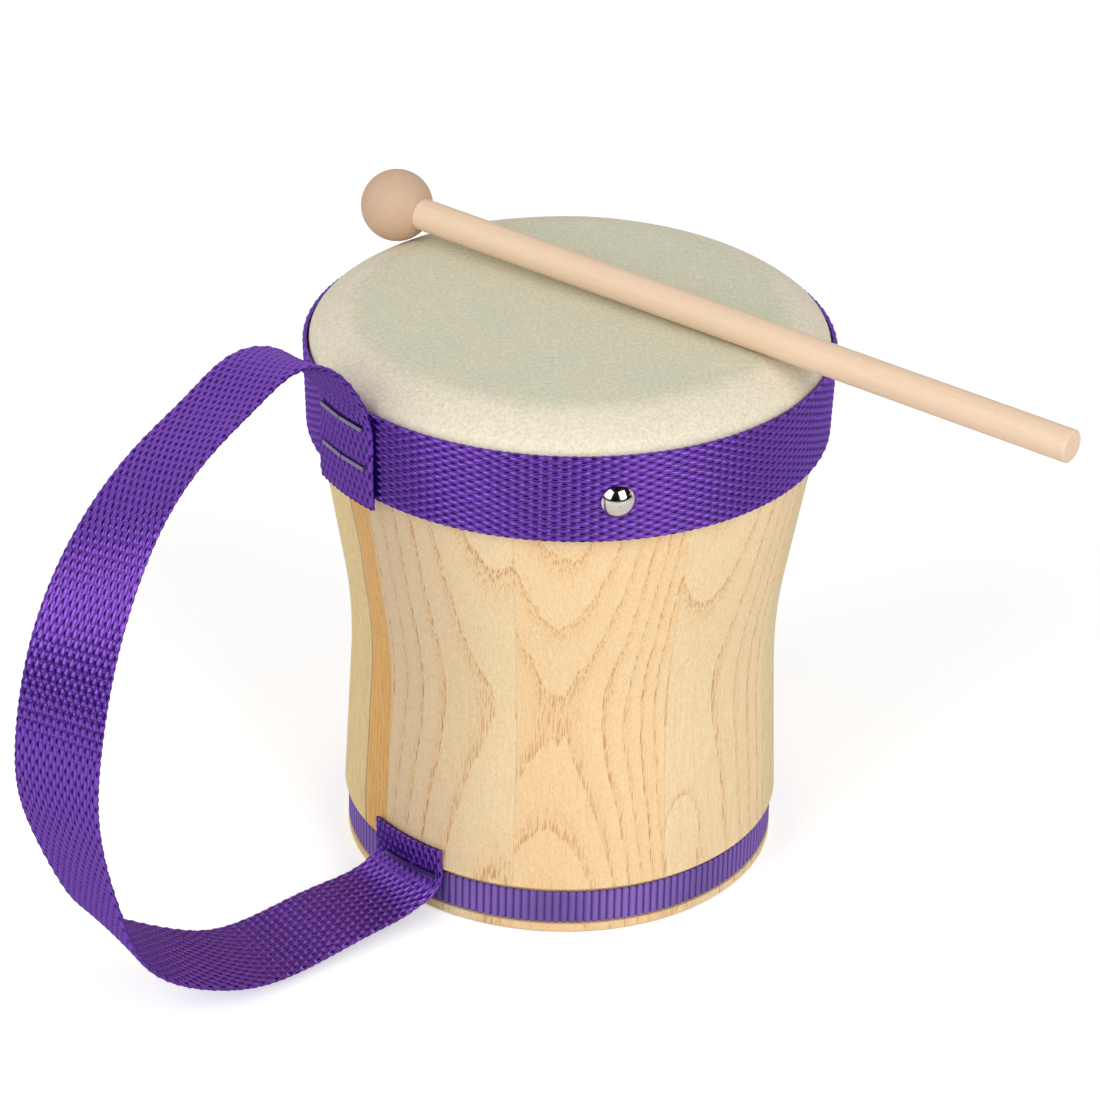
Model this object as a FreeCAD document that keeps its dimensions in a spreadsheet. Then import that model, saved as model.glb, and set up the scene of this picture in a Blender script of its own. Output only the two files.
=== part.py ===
# Hand drum: a waisted stave shell under a rawhide head, with a webbing strap and a ball mallet.
# Millimetres. The origin is on the drum's axis at its foot, +Z is up and the front faces -Y.
# A bearing is the angle about the axis from the front towards the left, in degrees.
import FreeCAD, Part
import math
import os
import Sketcher
from FreeCAD import Placement, Rotation, Vector

os.makedirs("parts", exist_ok=True)
doc = FreeCAD.newDocument("HandDrum")

SIZES = {
    # shell
    "stave_count": 9,
    "first_joint_bearing": 11.5,
    "head_height": 162.0,
    "rim_radius": 69.6,
    "rim_drop": 9.0,
    "rim_round": 4.1,
    "shoulder_width": 15.6,
    "skirt_taper": 0.85,
    "skirt_drop": 31.5,
    "waist_inset": 10.3,
    "waist_height_share": 0.385,
    "waist_hollow_share": 0.926,
    "foot_inset": 9.2,
    "foot_wall": 10.4,
    "foot_step": 0.9,
    "foot_ease": 0.7,
    "rebate_bottom": 2.9,
    "rebate_depth": 1.0,
    # head
    "skin_thickness": 0.9,
    # webbing, shared by the upper band and the strap, and the tape at the foot
    "webbing_width": 25.4,
    "webbing_thickness": 1.6,
    "band_lap": 2.0,
    "band_ease": 0.25,
    "band_parting": 1.2,
    "tape_width": 10.2,
    "tape_thickness": 0.85,
    "tape_room": 0.3,
    "tape_slack": 1.5,
    "lay_gap": 0.1,
    # carry strap
    "strap_high_bearing": 54.0,
    "strap_low_bearing": 42.4,
    "strap_tail_high": 2.0,
    "strap_tail_low": 3.4,
    "strap_end_rise": 6.4,
    "strap_throw": 112.75,
    "strap_rise": 12.0,
    "strap_lean": 0.35,
    "strap_cup": 0.4,
    "strap_seam": 0.3,
    # upholstery nails
    "nail_count": 3,
    "nail_bearing": -10.7,
    "nail_height_share": 0.48,
    "nail_head_radius": 4.5,
    "nail_head_rise": 2.4,
    "nail_head_wall": 0.7,
    "nail_shank_radius": 0.85,
    "nail_shank_length": 13.0,
    "nail_point_length": 2.5,
    "nail_bite": 0.15,
    # staples
    "staple_crown": 9.5,
    "staple_wire_width": 1.1,
    "staple_wire_thickness": 0.6,
    "staple_leg": 9.5,
    "staple_press": 0.15,
    "skin_staple_leg": 6.0,
    "skin_staple_rise": 3.1,
    "skin_staple_bite": 0.25,
    "strap_staple_low_share": 0.374,
    "strap_staple_high_share": 0.83,
    "strap_staple_spread": 9.8,
    "strap_staple_shift": 0.65,
    "low_staple_rise": 1.4,
    "low_staple_spread": 9.4,
    "low_staple_shift": 2.2,
    "fastener_clearance": 0.05,
    # mallet
    "dowel_radius": 4.45,
    "dowel_reach": 217.4,
    "dowel_ease": 0.5,
    "ball_radius": 10.05,
    "ball_socket_depth": 12.0,
    "ball_inset": 1.55,
    "glue_clearance": 0.05,
    "mallet_plan_angle": -35.9,
    "mallet_offset": 9.4,
    "rest_gap": 0.3,
}

# Radii and heights that follow from the sizes, as sums of their names.
RIM = "rim_radius"
SKIRT = "rim_radius - skirt_taper"
FLAT = "rim_radius - shoulder_width"
FOOT = "rim_radius - foot_inset"
BORE = FOOT + " - foot_wall"
FLANK = FOOT + " + foot_step"
REBATE = FOOT + " - rebate_depth"
WAIST = "rim_radius - waist_inset"
WAIST_HOLLOW = "waist_hollow_share*head_height"
WAIST_UP = "waist_height_share*head_height"
SHELL_UP = "head_height - skin_thickness"
RIM_UP = "head_height - rim_drop"
SKIRT_UP = "head_height - skirt_drop"
BAND_UP = SKIRT_UP + " - band_lap"
TAPE_UP = "rebate_bottom + tape_room"
REBATE_UP = TAPE_UP + " + tape_width + tape_slack"

sheet = doc.addObject("Spreadsheet::Sheet", "Sizes")
for row, (name, number) in enumerate(SIZES.items(), start=1):
    sheet.set("A%d" % row, name)
    sheet.set("B%d" % row, str(number))
    sheet.setAlias("B%d" % row, name)
doc.recompute()


def size(name):
    """The number that the sheet holds under a name, or zero for the word 0."""
    return 0.0 if name == "0" else float(getattr(sheet, name))


def worth(text):
    """What a sum comes to. Its words are names, or a share and a name such as 'a_share*b'."""
    total = 0.0
    sign = 1
    for word in text.split():
        if word in ("+", "-"):
            sign = 1 if word == "+" else -1
        else:
            total += sign * math.prod(size(name) for name in word.split("*"))
    return total


def bound(text):
    """The same sum as an expression on the sheet's cells."""
    words = [
        word if word in ("+", "-", "0") else "Sizes." + word.replace("*", " * Sizes.")
        for word in text.split()
    ]
    return " ".join(words)


def origin_feature(body, role):
    """One of the body's own planes or axes."""
    return next(item for item in body.Origin.OriginFeatures if item.Role == role)


def upright_sketch(body, name):
    """A sketch whose across is the distance from the axis and whose up is the height."""
    sketch = body.newObject("Sketcher::SketchObject", name)
    sketch.AttachmentSupport = [(origin_feature(body, "XZ_Plane"), "")]
    sketch.MapMode = "FlatFace"
    return sketch


def hold(sketch, kind, geometry, end, text):
    """Ties one coordinate of a point to a sum of named sizes."""
    if text == "0":
        axis = -2 if kind == "DistanceX" else -1
        sketch.addConstraint(Sketcher.Constraint("PointOnObject", geometry, end, axis))
        return
    number = sketch.addConstraint(
        Sketcher.Constraint(kind, -1, 1, geometry, end, worth(text))
    )
    sketch.setExpression("Constraints[%d]" % number, bound(text))


def draw_outline(sketch, corners, arcs=None, smooth=()):
    """Draws a closed outline through corners.

    A corner is a pair of sums that hold it, or a Vector that is only a first guess. arcs maps
    the number of an edge to its bulge share, its radius or None, and its centre or None; a
    positive bulge lies to the right of the way the edge runs. smooth lists the corners where
    two edges run on smoothly.
    """
    arcs = arcs or {}
    places = [
        corner if isinstance(corner, Vector) else Vector(worth(corner[0]), worth(corner[1]), 0)
        for corner in corners
    ]
    count = len(corners)
    starts, ends = [], []
    for edge, start in enumerate(places):
        finish = places[(edge + 1) % count]
        if edge in arcs:
            chord = finish - start
            side = Vector(chord.y, -chord.x, 0) * arcs[edge][0]
            middle = (start + finish) / 2 + side
            left_turning = arcs[edge][0] > 0
            run = (start, middle, finish) if left_turning else (finish, middle, start)
            sketch.addGeometry(Part.Arc(*run), False)
            starts.append(1 if left_turning else 2)
            ends.append(2 if left_turning else 1)
        else:
            sketch.addGeometry(Part.LineSegment(start, finish), False)
            starts.append(1)
            ends.append(2)
    for corner in range(count):
        before = (corner - 1) % count
        kind = "Tangent" if corner in smooth else "Coincident"
        sketch.addConstraint(
            Sketcher.Constraint(kind, before, ends[before], corner, starts[corner])
        )
        if not isinstance(corners[corner], Vector):
            hold(sketch, "DistanceX", corner, starts[corner], corners[corner][0])
            hold(sketch, "DistanceY", corner, starts[corner], corners[corner][1])
    for edge, (_, radius, centre) in arcs.items():
        if centre:
            hold(sketch, "DistanceX", edge, 3, centre[0])
            hold(sketch, "DistanceY", edge, 3, centre[1])
        if radius:
            number = sketch.addConstraint(Sketcher.Constraint("Radius", edge, worth(radius)))
            sketch.setExpression("Constraints[%d]" % number, bound(radius))


def turned(body, sketch, angle_expression=None):
    """Turns a sketch about the body's vertical axis, all round or by an angle about its middle."""
    turn = body.newObject("PartDesign::Revolution", body.Name + "Turn")
    turn.Profile = sketch
    turn.ReferenceAxis = (sketch, ["V_Axis"])
    turn.Angle = 360
    if angle_expression:
        turn.Midplane = True
        turn.setExpression("Angle", angle_expression)
    sketch.Visibility = False
    return turn


def facing(bearing, radius=0.0, height=0.0):
    """A placement whose X points out of the wall at a bearing, radius and height."""
    turn = Rotation(Vector(0, 0, 1), -(90 + bearing))
    return Placement(turn.multVec(Vector(radius, 0, 0)) + Vector(0, 0, height), turn)


def rim_guess(round_radius):
    """Where the small and the large curve of the rim are likely to meet."""
    across_share, up_share = 0.54, 0.88
    start = Vector(worth(RIM), worth(RIM_UP), 0)
    return start + Vector(-across_share * round_radius, up_share * round_radius, 0)


def waist_guess(side):
    """Where the hollow of the waist is likely to meet the straight flank on one side."""
    away_share = 0.11 + 0.06 * side
    away = away_share * worth(WAIST_HOLLOW)
    swell = away**2 / (2 * worth(WAIST_HOLLOW))
    return Vector(worth(WAIST) + swell, worth(WAIST_UP) + side * away, 0)


def new_feature(name, shape):
    """A sub-part whose shape is worked out from the sheet's sizes."""
    feature = doc.addObject("Part::Feature", name)
    feature.Shape = shape
    return feature


# Shell

stave_angle = 360.0 / size("stave_count")
stave_bearings = [
    size("first_joint_bearing") + stave_angle * (number + 0.5)
    for number in range(int(size("stave_count")))
]


def make_stave(name, bearing):
    """One stave: a wedge of the shell, bored straight inside and turned to a waist outside."""
    body = doc.addObject("PartDesign::Body", name)
    sketch = upright_sketch(body, name + "Profile")
    rim = size("rim_round")
    corners = [
        (BORE, "0"),
        (FOOT + " - foot_ease", "0"),
        (FOOT, "foot_ease"),
        (FOOT, "rebate_bottom"),
        (REBATE, "rebate_bottom"),
        (REBATE, REBATE_UP),
        (FLANK, REBATE_UP),
        waist_guess(-1),
        waist_guess(1),
        (SKIRT, SKIRT_UP),
        (RIM, RIM_UP),
        rim_guess(rim),
        (FLAT, SHELL_UP),
        (BORE, SHELL_UP),
    ]
    arcs = {
        7: (-0.03, WAIST_HOLLOW, (WAIST + " + " + WAIST_HOLLOW, WAIST_UP)),
        10: (0.1, "rim_round", None),
        11: (0.1, None, None),
    }
    draw_outline(sketch, corners, arcs, smooth=(7, 8, 10, 11, 12))
    turned(body, sketch, "360 / Sizes.stave_count")
    body.Placement = facing(bearing)
    return body


# Head

def make_skin():
    """The rawhide: flat over the bore, rolled over the rim and down the wall as a skirt."""
    body = doc.addObject("PartDesign::Body", "Rawhide")
    sketch = upright_sketch(body, "RawhideProfile")
    inner = size("rim_round")
    outer = inner + size("skin_thickness")
    corners = [
        ("0", SHELL_UP),
        (FLAT, SHELL_UP),
        rim_guess(inner),
        (RIM, RIM_UP),
        (SKIRT, SKIRT_UP),
        (SKIRT + " + skin_thickness", SKIRT_UP),
        (RIM + " + skin_thickness", RIM_UP),
        rim_guess(outer) + Vector(size("skin_thickness"), 0, 0),
        (FLAT, "head_height"),
        ("0", "head_height"),
    ]
    arcs = {
        1: (-0.1, None, None),
        2: (-0.1, "rim_round", None),
        6: (0.1, "rim_round + skin_thickness", None),
        7: (0.1, None, None),
    }
    draw_outline(sketch, corners, arcs, smooth=(1, 2, 3, 6, 7, 8))
    turned(body, sketch)
    return body


# Bands

def parted_ring(name, corners, bearing):
    """A band whose two ends stand a little apart, under the end of the strap."""
    body = doc.addObject("PartDesign::Body", name)
    sketch = upright_sketch(body, name + "Section")
    draw_outline(sketch, corners)
    parting = "Sizes.band_parting / (%s) * 180 / pi" % bound(corners[0][0])
    turned(body, sketch, "360 - " + parting)
    body.Placement = facing(bearing + 180)
    return body


def make_band():
    """The upper band of webbing, over the skirt of the skin."""
    low = SKIRT + " + skin_thickness + band_ease"
    high = RIM + " + skin_thickness + band_ease"
    top = BAND_UP + " + webbing_width"
    corners = [
        (low, BAND_UP),
        (low + " + webbing_thickness", BAND_UP),
        (high + " + webbing_thickness", top),
        (high, top),
    ]
    return parted_ring("BandWebbing", corners, size("strap_high_bearing"))


def make_tape():
    """The narrow tape in the rebate at the foot."""
    inner = REBATE + " + lay_gap"
    corners = [
        (inner, TAPE_UP),
        (inner + " + tape_thickness", TAPE_UP),
        (inner + " + tape_thickness", TAPE_UP + " + tape_width"),
        (inner, TAPE_UP + " + tape_width"),
    ]
    return parted_ring("FootTape", corners, size("strap_low_bearing"))


# Carry strap

band_face = worth(RIM + " + skin_thickness + band_ease + webbing_thickness")
strap_on_band = band_face + size("lay_gap") + size("webbing_thickness") / 2
strap_on_flank = worth(FLANK + " + lay_gap") + size("webbing_thickness") / 2
band_top = worth(BAND_UP + " + webbing_width")

# The two stapled stretches: how far along each a section stands.
LAP_SHARES = (0.0, 0.5, 1.0)

# The free stretch, from the curl above the band down to the floor and back to the foot. Each
# row: how far its bearing lies from the low end's to the high end's, how far it stands out
# from the band as a share of the strap's throw, its height as a share of the strap's top,
# then how far the width is turned from square to the bearing and tilted, in degrees.
LOOP_ROUTE_SHARES = [
    (0.724, 0.223, 0.999, -12.8, 9.0),
    (0.517, 0.383, 0.977, -10.4, 12.5),
    (0.345, 0.545, 0.944, -8.4, 12.0),
    (0.207, 0.695, 0.896, -8.3, 9.5),
    (0.086, 0.825, 0.826, -11.4, 4.5),
    (0.000, 0.924, 0.737, -14.4, 0.0),
    (-0.043, 0.983, 0.633, -14.9, -1.5),
    (-0.043, 1.000, 0.522, -11.9, -2.0),
    (0.000, 0.960, 0.415, -6.4, -4.0),
    (0.052, 0.898, 0.313, -2.0, -6.5),
    (0.129, 0.816, 0.215, 2.1, -11.0),
    (0.190, 0.699, 0.139, 6.4, -15.5),
    (0.216, 0.557, 0.078, 5.6, -14.5),
    (0.233, 0.403, 0.036, 3.4, -10.0),
    (0.207, 0.235, 0.030, 2.4, -8.0),
]

# The curls that bend when the loop swings, in the same way, but how far they stand out from
# the band or the shell is a share of the webbing's width, and the height of the high one is a
# share of the climb from its lap to the strap's top.
HIGH_CURL_SHARES = [
    (0.985, 0.040, 0.120, -1.4, 0.0),
    (0.948, 0.14, 0.307, -3.9, 0.0),
    (0.888, 0.35, 0.614, -7.2, 1.0),
    (0.810, 0.65, 0.874, -10.8, 4.5),
]
LOW_CURL_SHARES = [
    (0.172, 1.10, 0.034, 3.0, -7.0),
    (0.138, 0.72, 0.035, 3.2, -5.0),
    (0.095, 0.36, 0.037, 2.5, -3.0),
    (0.043, 0.12, 0.047, 1.1, -1.0),
]


def wall_point(bearing, radius, height):
    """A point in space from its bearing, distance from the axis and height."""
    return facing(bearing, radius, height).Base


def width_line(turn, tilt):
    """The way across the strap, towards its near edge."""
    flat = math.cos(math.radians(tilt))
    return Vector(
        flat * math.cos(math.radians(turn)),
        -flat * math.sin(math.radians(turn)),
        math.sin(math.radians(tilt)),
    )


def high_lap_radius(share):
    """How far out the strap's middle line lies on the sloping band, leaning off it at the top."""
    lean = size("strap_lean") * share * (2 * share - 1)
    return strap_on_band - size("skirt_taper") * (1 - share) + lean


def strap_stations():
    """The middle line of the whole strap with its width line and cup, end to end."""
    width = size("webbing_width")
    high, low = size("strap_high_bearing"), size("strap_low_bearing")
    top = worth("head_height + strap_rise")
    tail = worth(BAND_UP + " - strap_tail_high")
    high_lap = band_top - size("strap_tail_high")
    low_lap = worth(REBATE_UP + " - strap_tail_low")
    end = worth(REBATE_UP + " + strap_end_rise")
    cup_high = width**2 / (8 * strap_on_band)
    cup_low = width**2 / (8 * strap_on_flank)
    rows = []

    def add(way, radius, height, turn, tilt, cup):
        """One section: its bearing lies at this share of the way from the low to the high end."""
        bearing = low + way * (high - low)
        rows.append((wall_point(bearing, radius, height), width_line(bearing + turn, tilt), cup))

    for share in LAP_SHARES:
        add(1, high_lap_radius(share), tail + share * (high_lap - tail), 0, 0, cup_high)
    for way, stand, climb, turn, tilt in HIGH_CURL_SHARES:
        height = high_lap + climb * (top - high_lap)
        add(way, strap_on_band + stand * width, height, turn, tilt, size("strap_cup"))
    for way, out, up, turn, tilt in LOOP_ROUTE_SHARES:
        radius = strap_on_band + out * size("strap_throw")
        add(way, radius, up * top, turn, tilt, size("strap_cup"))
    for way, stand, up, turn, tilt in LOW_CURL_SHARES:
        add(way, strap_on_flank + stand * width, up * top, turn, tilt, size("strap_cup"))
    for share in LAP_SHARES:
        add(0, strap_on_flank, low_lap + share * (end - low_lap), 0, 0, cup_low)
    return rows


def strap_frames():
    """At each station: the middle, the way along, the way across, the face's way and the cup."""
    stations = strap_stations()
    frames = []
    for number, (middle, across, cup) in enumerate(stations):
        before = stations[max(number - 1, 0)][0]
        after = stations[min(number + 1, len(stations) - 1)][0]
        along = (after - before).normalize()
        across = (across - along * across.dot(along)).normalize()
        frames.append((middle, along, across, along.cross(across).normalize(), cup))
    return frames


def strap_section(frame, slide=0.0):
    """The cupped section of the webbing at one station, slid a little along the strap."""
    middle, along, across, face, cup = frame
    centre = middle + along * slide
    half_width = across * (size("webbing_width") / 2)
    half_thick = face * (size("webbing_thickness") / 2)
    lift = face * cup
    top = [
        centre + half_width + half_thick + lift,
        centre + half_thick,
        centre - half_width + half_thick + lift,
    ]
    bottom = [
        centre - half_width - half_thick + lift,
        centre - half_thick,
        centre + half_width - half_thick + lift,
    ]
    edges = [
        Part.Arc(*top).toShape(),
        Part.LineSegment(top[2], bottom[0]).toShape(),
        Part.Arc(*bottom).toShape(),
        Part.LineSegment(bottom[2], top[0]).toShape(),
    ]
    return Part.Wire(edges)


frames = strap_frames()


def strap_stretch(first, last, seam_first=False, seam_last=False):
    """The webbing between two stations, drawn back by the seam where one is asked for."""
    sections = []
    for number in range(first, last + 1):
        slide = 0.0
        if number == first and seam_first:
            slide = size("strap_seam")
        if number == last and seam_last:
            slide = -size("strap_seam")
        sections.append(strap_section(frames[number], slide))
    return Part.makeLoft(sections, True, False)


HIGH_LAP_END = len(LAP_SHARES) - 1
HIGH_CURL_END = HIGH_LAP_END + len(HIGH_CURL_SHARES) + 1
LOOP_END = HIGH_CURL_END + len(LOOP_ROUTE_SHARES) - 1
LOW_CURL_END = LOOP_END + len(LOW_CURL_SHARES) + 1
LAST_STATION = len(frames) - 1


# Fasteners

def staple_shape(leg, room=0.0):
    """A staple: its crown on the plane x = 0, its legs going in along -X. Room fattens it."""
    crown, thick = size("staple_crown"), size("staple_wire_thickness")
    wide = size("staple_wire_width")
    span = crown + 2 * room
    shape = Part.makeBox(
        thick + 2 * room, span, wide + 2 * room, Vector(-room, -span / 2, -wide / 2 - room)
    )
    for side in (-1, 1):
        centre = side * (crown - thick) / 2
        shape = shape.fuse(
            Part.makeBox(
                leg + 2 * room,
                thick + 2 * room,
                wide + 2 * room,
                Vector(-leg - room, centre - thick / 2 - room, -wide / 2 - room),
            )
        )
    return shape.removeSplitter()


def nail_shape(room=0.0):
    """An upholstery nail: a hollow domed head on x = 0 and a pointed shank along -X."""
    head, rise, wall = size("nail_head_radius"), size("nail_head_rise"), size("nail_head_wall")
    shank, length = size("nail_shank_radius") + room, size("nail_shank_length") + room
    point = size("nail_point_length")
    dome = (head**2 + rise**2) / (2 * rise)
    inner = dome - wall
    hollow = math.sqrt(inner**2 - (dome - rise) ** 2)
    outer_mid = Vector(
        rise - dome + math.sqrt(dome**2 - (head / 2) ** 2), head / 2, 0
    )
    root = math.sqrt(inner**2 - shank**2) - (dome - rise)
    inner_half = (hollow + shank) / 2
    inner_mid = Vector(math.sqrt(inner**2 - inner_half**2) - (dome - rise), inner_half, 0)
    edges = [
        Part.Arc(Vector(rise, 0, 0), outer_mid, Vector(0, head, 0)).toShape(),
        Part.LineSegment(Vector(0, head, 0), Vector(0, hollow, 0)).toShape(),
        Part.Arc(Vector(0, hollow, 0), inner_mid, Vector(root, shank, 0)).toShape(),
        Part.LineSegment(Vector(root, shank, 0), Vector(point - length, shank, 0)).toShape(),
        Part.LineSegment(Vector(point - length, shank, 0), Vector(-length, 0, 0)).toShape(),
        Part.LineSegment(Vector(-length, 0, 0), Vector(rise, 0, 0)).toShape(),
    ]
    return Part.Face(Part.Wire(edges)).revolve(Vector(0, 0, 0), Vector(1, 0, 0), 360)


def fastener_group(shape, places):
    """Like fasteners at their places, each a solid of its own."""
    copies = []
    for place in places:
        copy = shape.copy()
        copy.Placement = place
        copies.append(copy)
    return Part.makeCompound(copies)


nail_seat = band_face - size("nail_bite")
nail_places = [
    facing(
        size("nail_bearing") + 360.0 / size("nail_count") * number,
        nail_seat,
        worth(BAND_UP + " + nail_height_share*webbing_width"),
    )
    for number in range(int(size("nail_count")))
]

skin_staple_face = worth(SKIRT + " + skin_thickness - skin_staple_bite")
skin_staple_places = [
    facing(bearing, skin_staple_face, worth(SKIRT_UP + " + skin_staple_rise"))
    for bearing in stave_bearings
]



def staple_row(bearing, middle_line, shift, spread, height):
    """Two staples side by side in the strap's face, their middle shifted to the near side."""
    face = middle_line + size("webbing_thickness") / 2 - size("staple_press")
    return [
        facing(bearing + math.degrees((side * spread / 2 - shift) / face), face, height)
        for side in (-1, 1)
    ]


high_staple_places = []
for share in ("strap_staple_low_share", "strap_staple_high_share"):
    high_staple_places += staple_row(
        size("strap_high_bearing"),
        high_lap_radius(size(share)),
        size("strap_staple_shift"),
        size("strap_staple_spread"),
        worth(BAND_UP + " + %s*webbing_width" % share),
    )
low_staple_places = staple_row(
    size("strap_low_bearing"),
    strap_on_flank,
    size("low_staple_shift"),
    size("low_staple_spread"),
    worth(REBATE_UP + " - strap_tail_low + low_staple_rise"),
)


def fastener_room():
    """What the wood, skin and webbing give way to: every shank and leg with its clearance."""
    room = size("fastener_clearance")
    return Part.makeCompound([
        fastener_group(nail_shape(room), nail_places),
        fastener_group(staple_shape(size("skin_staple_leg"), room), skin_staple_places),
        fastener_group(staple_shape(size("staple_leg"), room), high_staple_places),
        fastener_group(staple_shape(size("staple_leg"), room), low_staple_places),
    ])


# Mallet

def resting_height(plan, skin_shape):
    """How high the ball's centre stands when the ball is let down on the skin at this place."""
    lowering_steps = 12
    clearance = size("ball_radius") + size("rest_gap")
    height = size("head_height") + 2 * clearance
    for _ in range(lowering_steps):
        centre = Part.Vertex(plan + Vector(0, 0, height))
        height -= centre.distToShape(skin_shape)[0] - clearance
    return height


def mallet_placement(skin_shape):
    """Where the mallet lies: its ball on the rim at the back left, its dowel on the head.

    The placement takes the ball's centre to its place and +Z to the way the dowel points.
    """
    angle = math.radians(size("mallet_plan_angle"))
    along = Vector(math.cos(angle), math.sin(angle), 0)
    beside = Vector(-math.sin(angle), math.cos(angle), 0)
    out = worth("rim_radius - ball_inset")
    beyond = math.sqrt(out**2 - size("mallet_offset") ** 2)
    plan = beside * size("mallet_offset") - along * beyond
    ball_height = resting_height(plan, skin_shape)
    dowel_height = worth("head_height + rest_gap + dowel_radius")
    far_rest = beyond + math.sqrt(worth(FLAT) ** 2 - size("mallet_offset") ** 2)
    fall = math.atan2(ball_height - dowel_height, far_rest)
    way = along * math.cos(fall) - Vector(0, 0, math.sin(fall))
    return Placement(plan + Vector(0, 0, ball_height), Rotation(Vector(0, 0, 1), way))


def make_dowel():
    """The mallet's stick, from the floor of its socket in the ball to its eased end."""
    body = doc.addObject("PartDesign::Body", "Dowel")
    sketch = upright_sketch(body, "DowelProfile")
    corners = [
        ("0", "ball_radius - ball_socket_depth + glue_clearance"),
        ("dowel_radius", "ball_radius - ball_socket_depth + glue_clearance"),
        ("dowel_radius", "dowel_reach - dowel_ease"),
        ("dowel_radius - dowel_ease", "dowel_reach"),
        ("0", "dowel_reach"),
    ]
    draw_outline(sketch, corners)
    turned(body, sketch)
    return body


def make_ball():
    """The turned ball, a blind socket bored in its side for the dowel."""
    ball = doc.addObject("Part::Sphere", "BallBlank")
    ball.setExpression("Radius", "Sizes.ball_radius")
    socket = doc.addObject("Part::Cylinder", "BallSocket")
    socket.setExpression("Radius", "Sizes.dowel_radius + Sizes.glue_clearance")
    socket.setExpression("Height", "Sizes.ball_socket_depth + Sizes.glue_clearance")
    socket.setExpression("Placement.Base.z", "Sizes.ball_radius - Sizes.ball_socket_depth")
    cut = doc.addObject("Part::Cut", "Ball")
    cut.Base = ball
    cut.Tool = socket
    return cut


def drilled(base, label, room):
    """A sub-part with the holes that its fasteners make."""
    cut = doc.addObject("Part::Cut", label.title().replace("_", ""))
    cut.Base = base
    cut.Tool = room
    cut.Label = label
    return cut


nodes = []
room = new_feature("FastenerRoom", fastener_room())

for number, bearing in enumerate(stave_bearings, start=1):
    blank = make_stave("StaveBlank%d" % number, bearing)
    nodes.append(drilled(blank, "stave_%d" % number, room))
skin = make_skin()
nodes.append(drilled(skin, "drum_head", room))
nodes.append(drilled(make_band(), "upper_band", room))
nodes.append(drilled(make_tape(), "lower_band", room))

strap_parts = {
    "strap_upper_end": (0, HIGH_LAP_END, False, False),
    "strap_upper_curl": (HIGH_LAP_END, HIGH_CURL_END, True, True),
    "strap_loop": (HIGH_CURL_END, LOOP_END, False, False),
    "strap_lower_curl": (LOOP_END, LOW_CURL_END, True, True),
    "strap_lower_end": (LOW_CURL_END, LAST_STATION, False, False),
}
for label, stretch in strap_parts.items():
    webbing = new_feature(label.title().replace("_", "") + "Webbing", strap_stretch(*stretch))
    if label.endswith("_end"):
        nodes.append(drilled(webbing, label, room))
    else:
        webbing.Label = label
        nodes.append(webbing)

fasteners = {
    "band_nails": (nail_shape(), nail_places),
    "skin_staples": (staple_shape(size("skin_staple_leg")), skin_staple_places),
    "strap_upper_staples": (staple_shape(size("staple_leg")), high_staple_places),
    "strap_lower_staples": (staple_shape(size("staple_leg")), low_staple_places),
}
for label, (shape, places) in fasteners.items():
    group = new_feature(label.title().replace("_", ""), fastener_group(shape, places))
    group.Label = label
    nodes.append(group)

doc.recompute()
mallet_place = mallet_placement(skin.Shape)
for label, piece in (("mallet_handle", make_dowel()), ("mallet_ball", make_ball())):
    piece.Placement = mallet_place
    piece.Label = label
    nodes.append(piece)

doc.recompute()
for item in doc.Objects:
    if "Invalid" in item.State or "Error" in item.State:
        raise RuntimeError("%s did not compute: %s" % (item.Name, item.State))
for node in nodes:
    if node.Shape.isNull() or not node.Shape.isValid():
        raise RuntimeError("%s has no valid shape" % node.Label)

for node in nodes:
    node.Shape.exportStep("parts/%s.step" % node.Label)
    print("%-22s solids %d  volume %10.2f" % (
        node.Label, len(node.Shape.Solids), node.Shape.Volume
    ))
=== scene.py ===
"""The looks of a hand drum: ash staves, rawhide head, webbing bands and strap, beech mallet."""

import math

import bpy
import numpy as np
from bpy.props import FloatProperty, FloatVectorProperty, IntProperty, PointerProperty
from bpy.types import Operator, Panel, PropertyGroup
from mathutils import Matrix, Vector


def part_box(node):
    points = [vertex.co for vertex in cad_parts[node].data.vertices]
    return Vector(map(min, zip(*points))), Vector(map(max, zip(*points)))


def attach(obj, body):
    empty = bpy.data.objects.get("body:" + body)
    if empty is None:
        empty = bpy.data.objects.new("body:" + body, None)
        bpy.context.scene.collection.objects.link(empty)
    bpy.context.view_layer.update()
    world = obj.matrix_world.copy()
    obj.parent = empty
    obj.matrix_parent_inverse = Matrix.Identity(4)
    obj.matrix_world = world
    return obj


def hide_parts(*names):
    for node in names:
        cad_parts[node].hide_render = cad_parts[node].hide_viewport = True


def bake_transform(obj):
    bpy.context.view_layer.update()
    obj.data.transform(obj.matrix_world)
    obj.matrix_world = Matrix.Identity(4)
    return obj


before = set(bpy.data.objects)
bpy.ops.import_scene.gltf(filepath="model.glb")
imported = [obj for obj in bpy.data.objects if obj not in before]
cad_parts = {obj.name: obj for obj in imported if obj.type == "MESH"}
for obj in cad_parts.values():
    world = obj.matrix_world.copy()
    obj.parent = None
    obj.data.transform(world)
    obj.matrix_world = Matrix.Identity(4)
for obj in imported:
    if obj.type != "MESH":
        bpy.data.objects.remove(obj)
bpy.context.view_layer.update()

bl_info = {
    "name": "Hand drum",
    "version": (1, 0, 0),
    "blender": (4, 5, 0),
    "location": "3D View > Sidebar > Hand drum",
    "description": "Finishes a packed hand drum: wood, rawhide, webbing, nails and mallet",
    "category": "Object",
}

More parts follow.
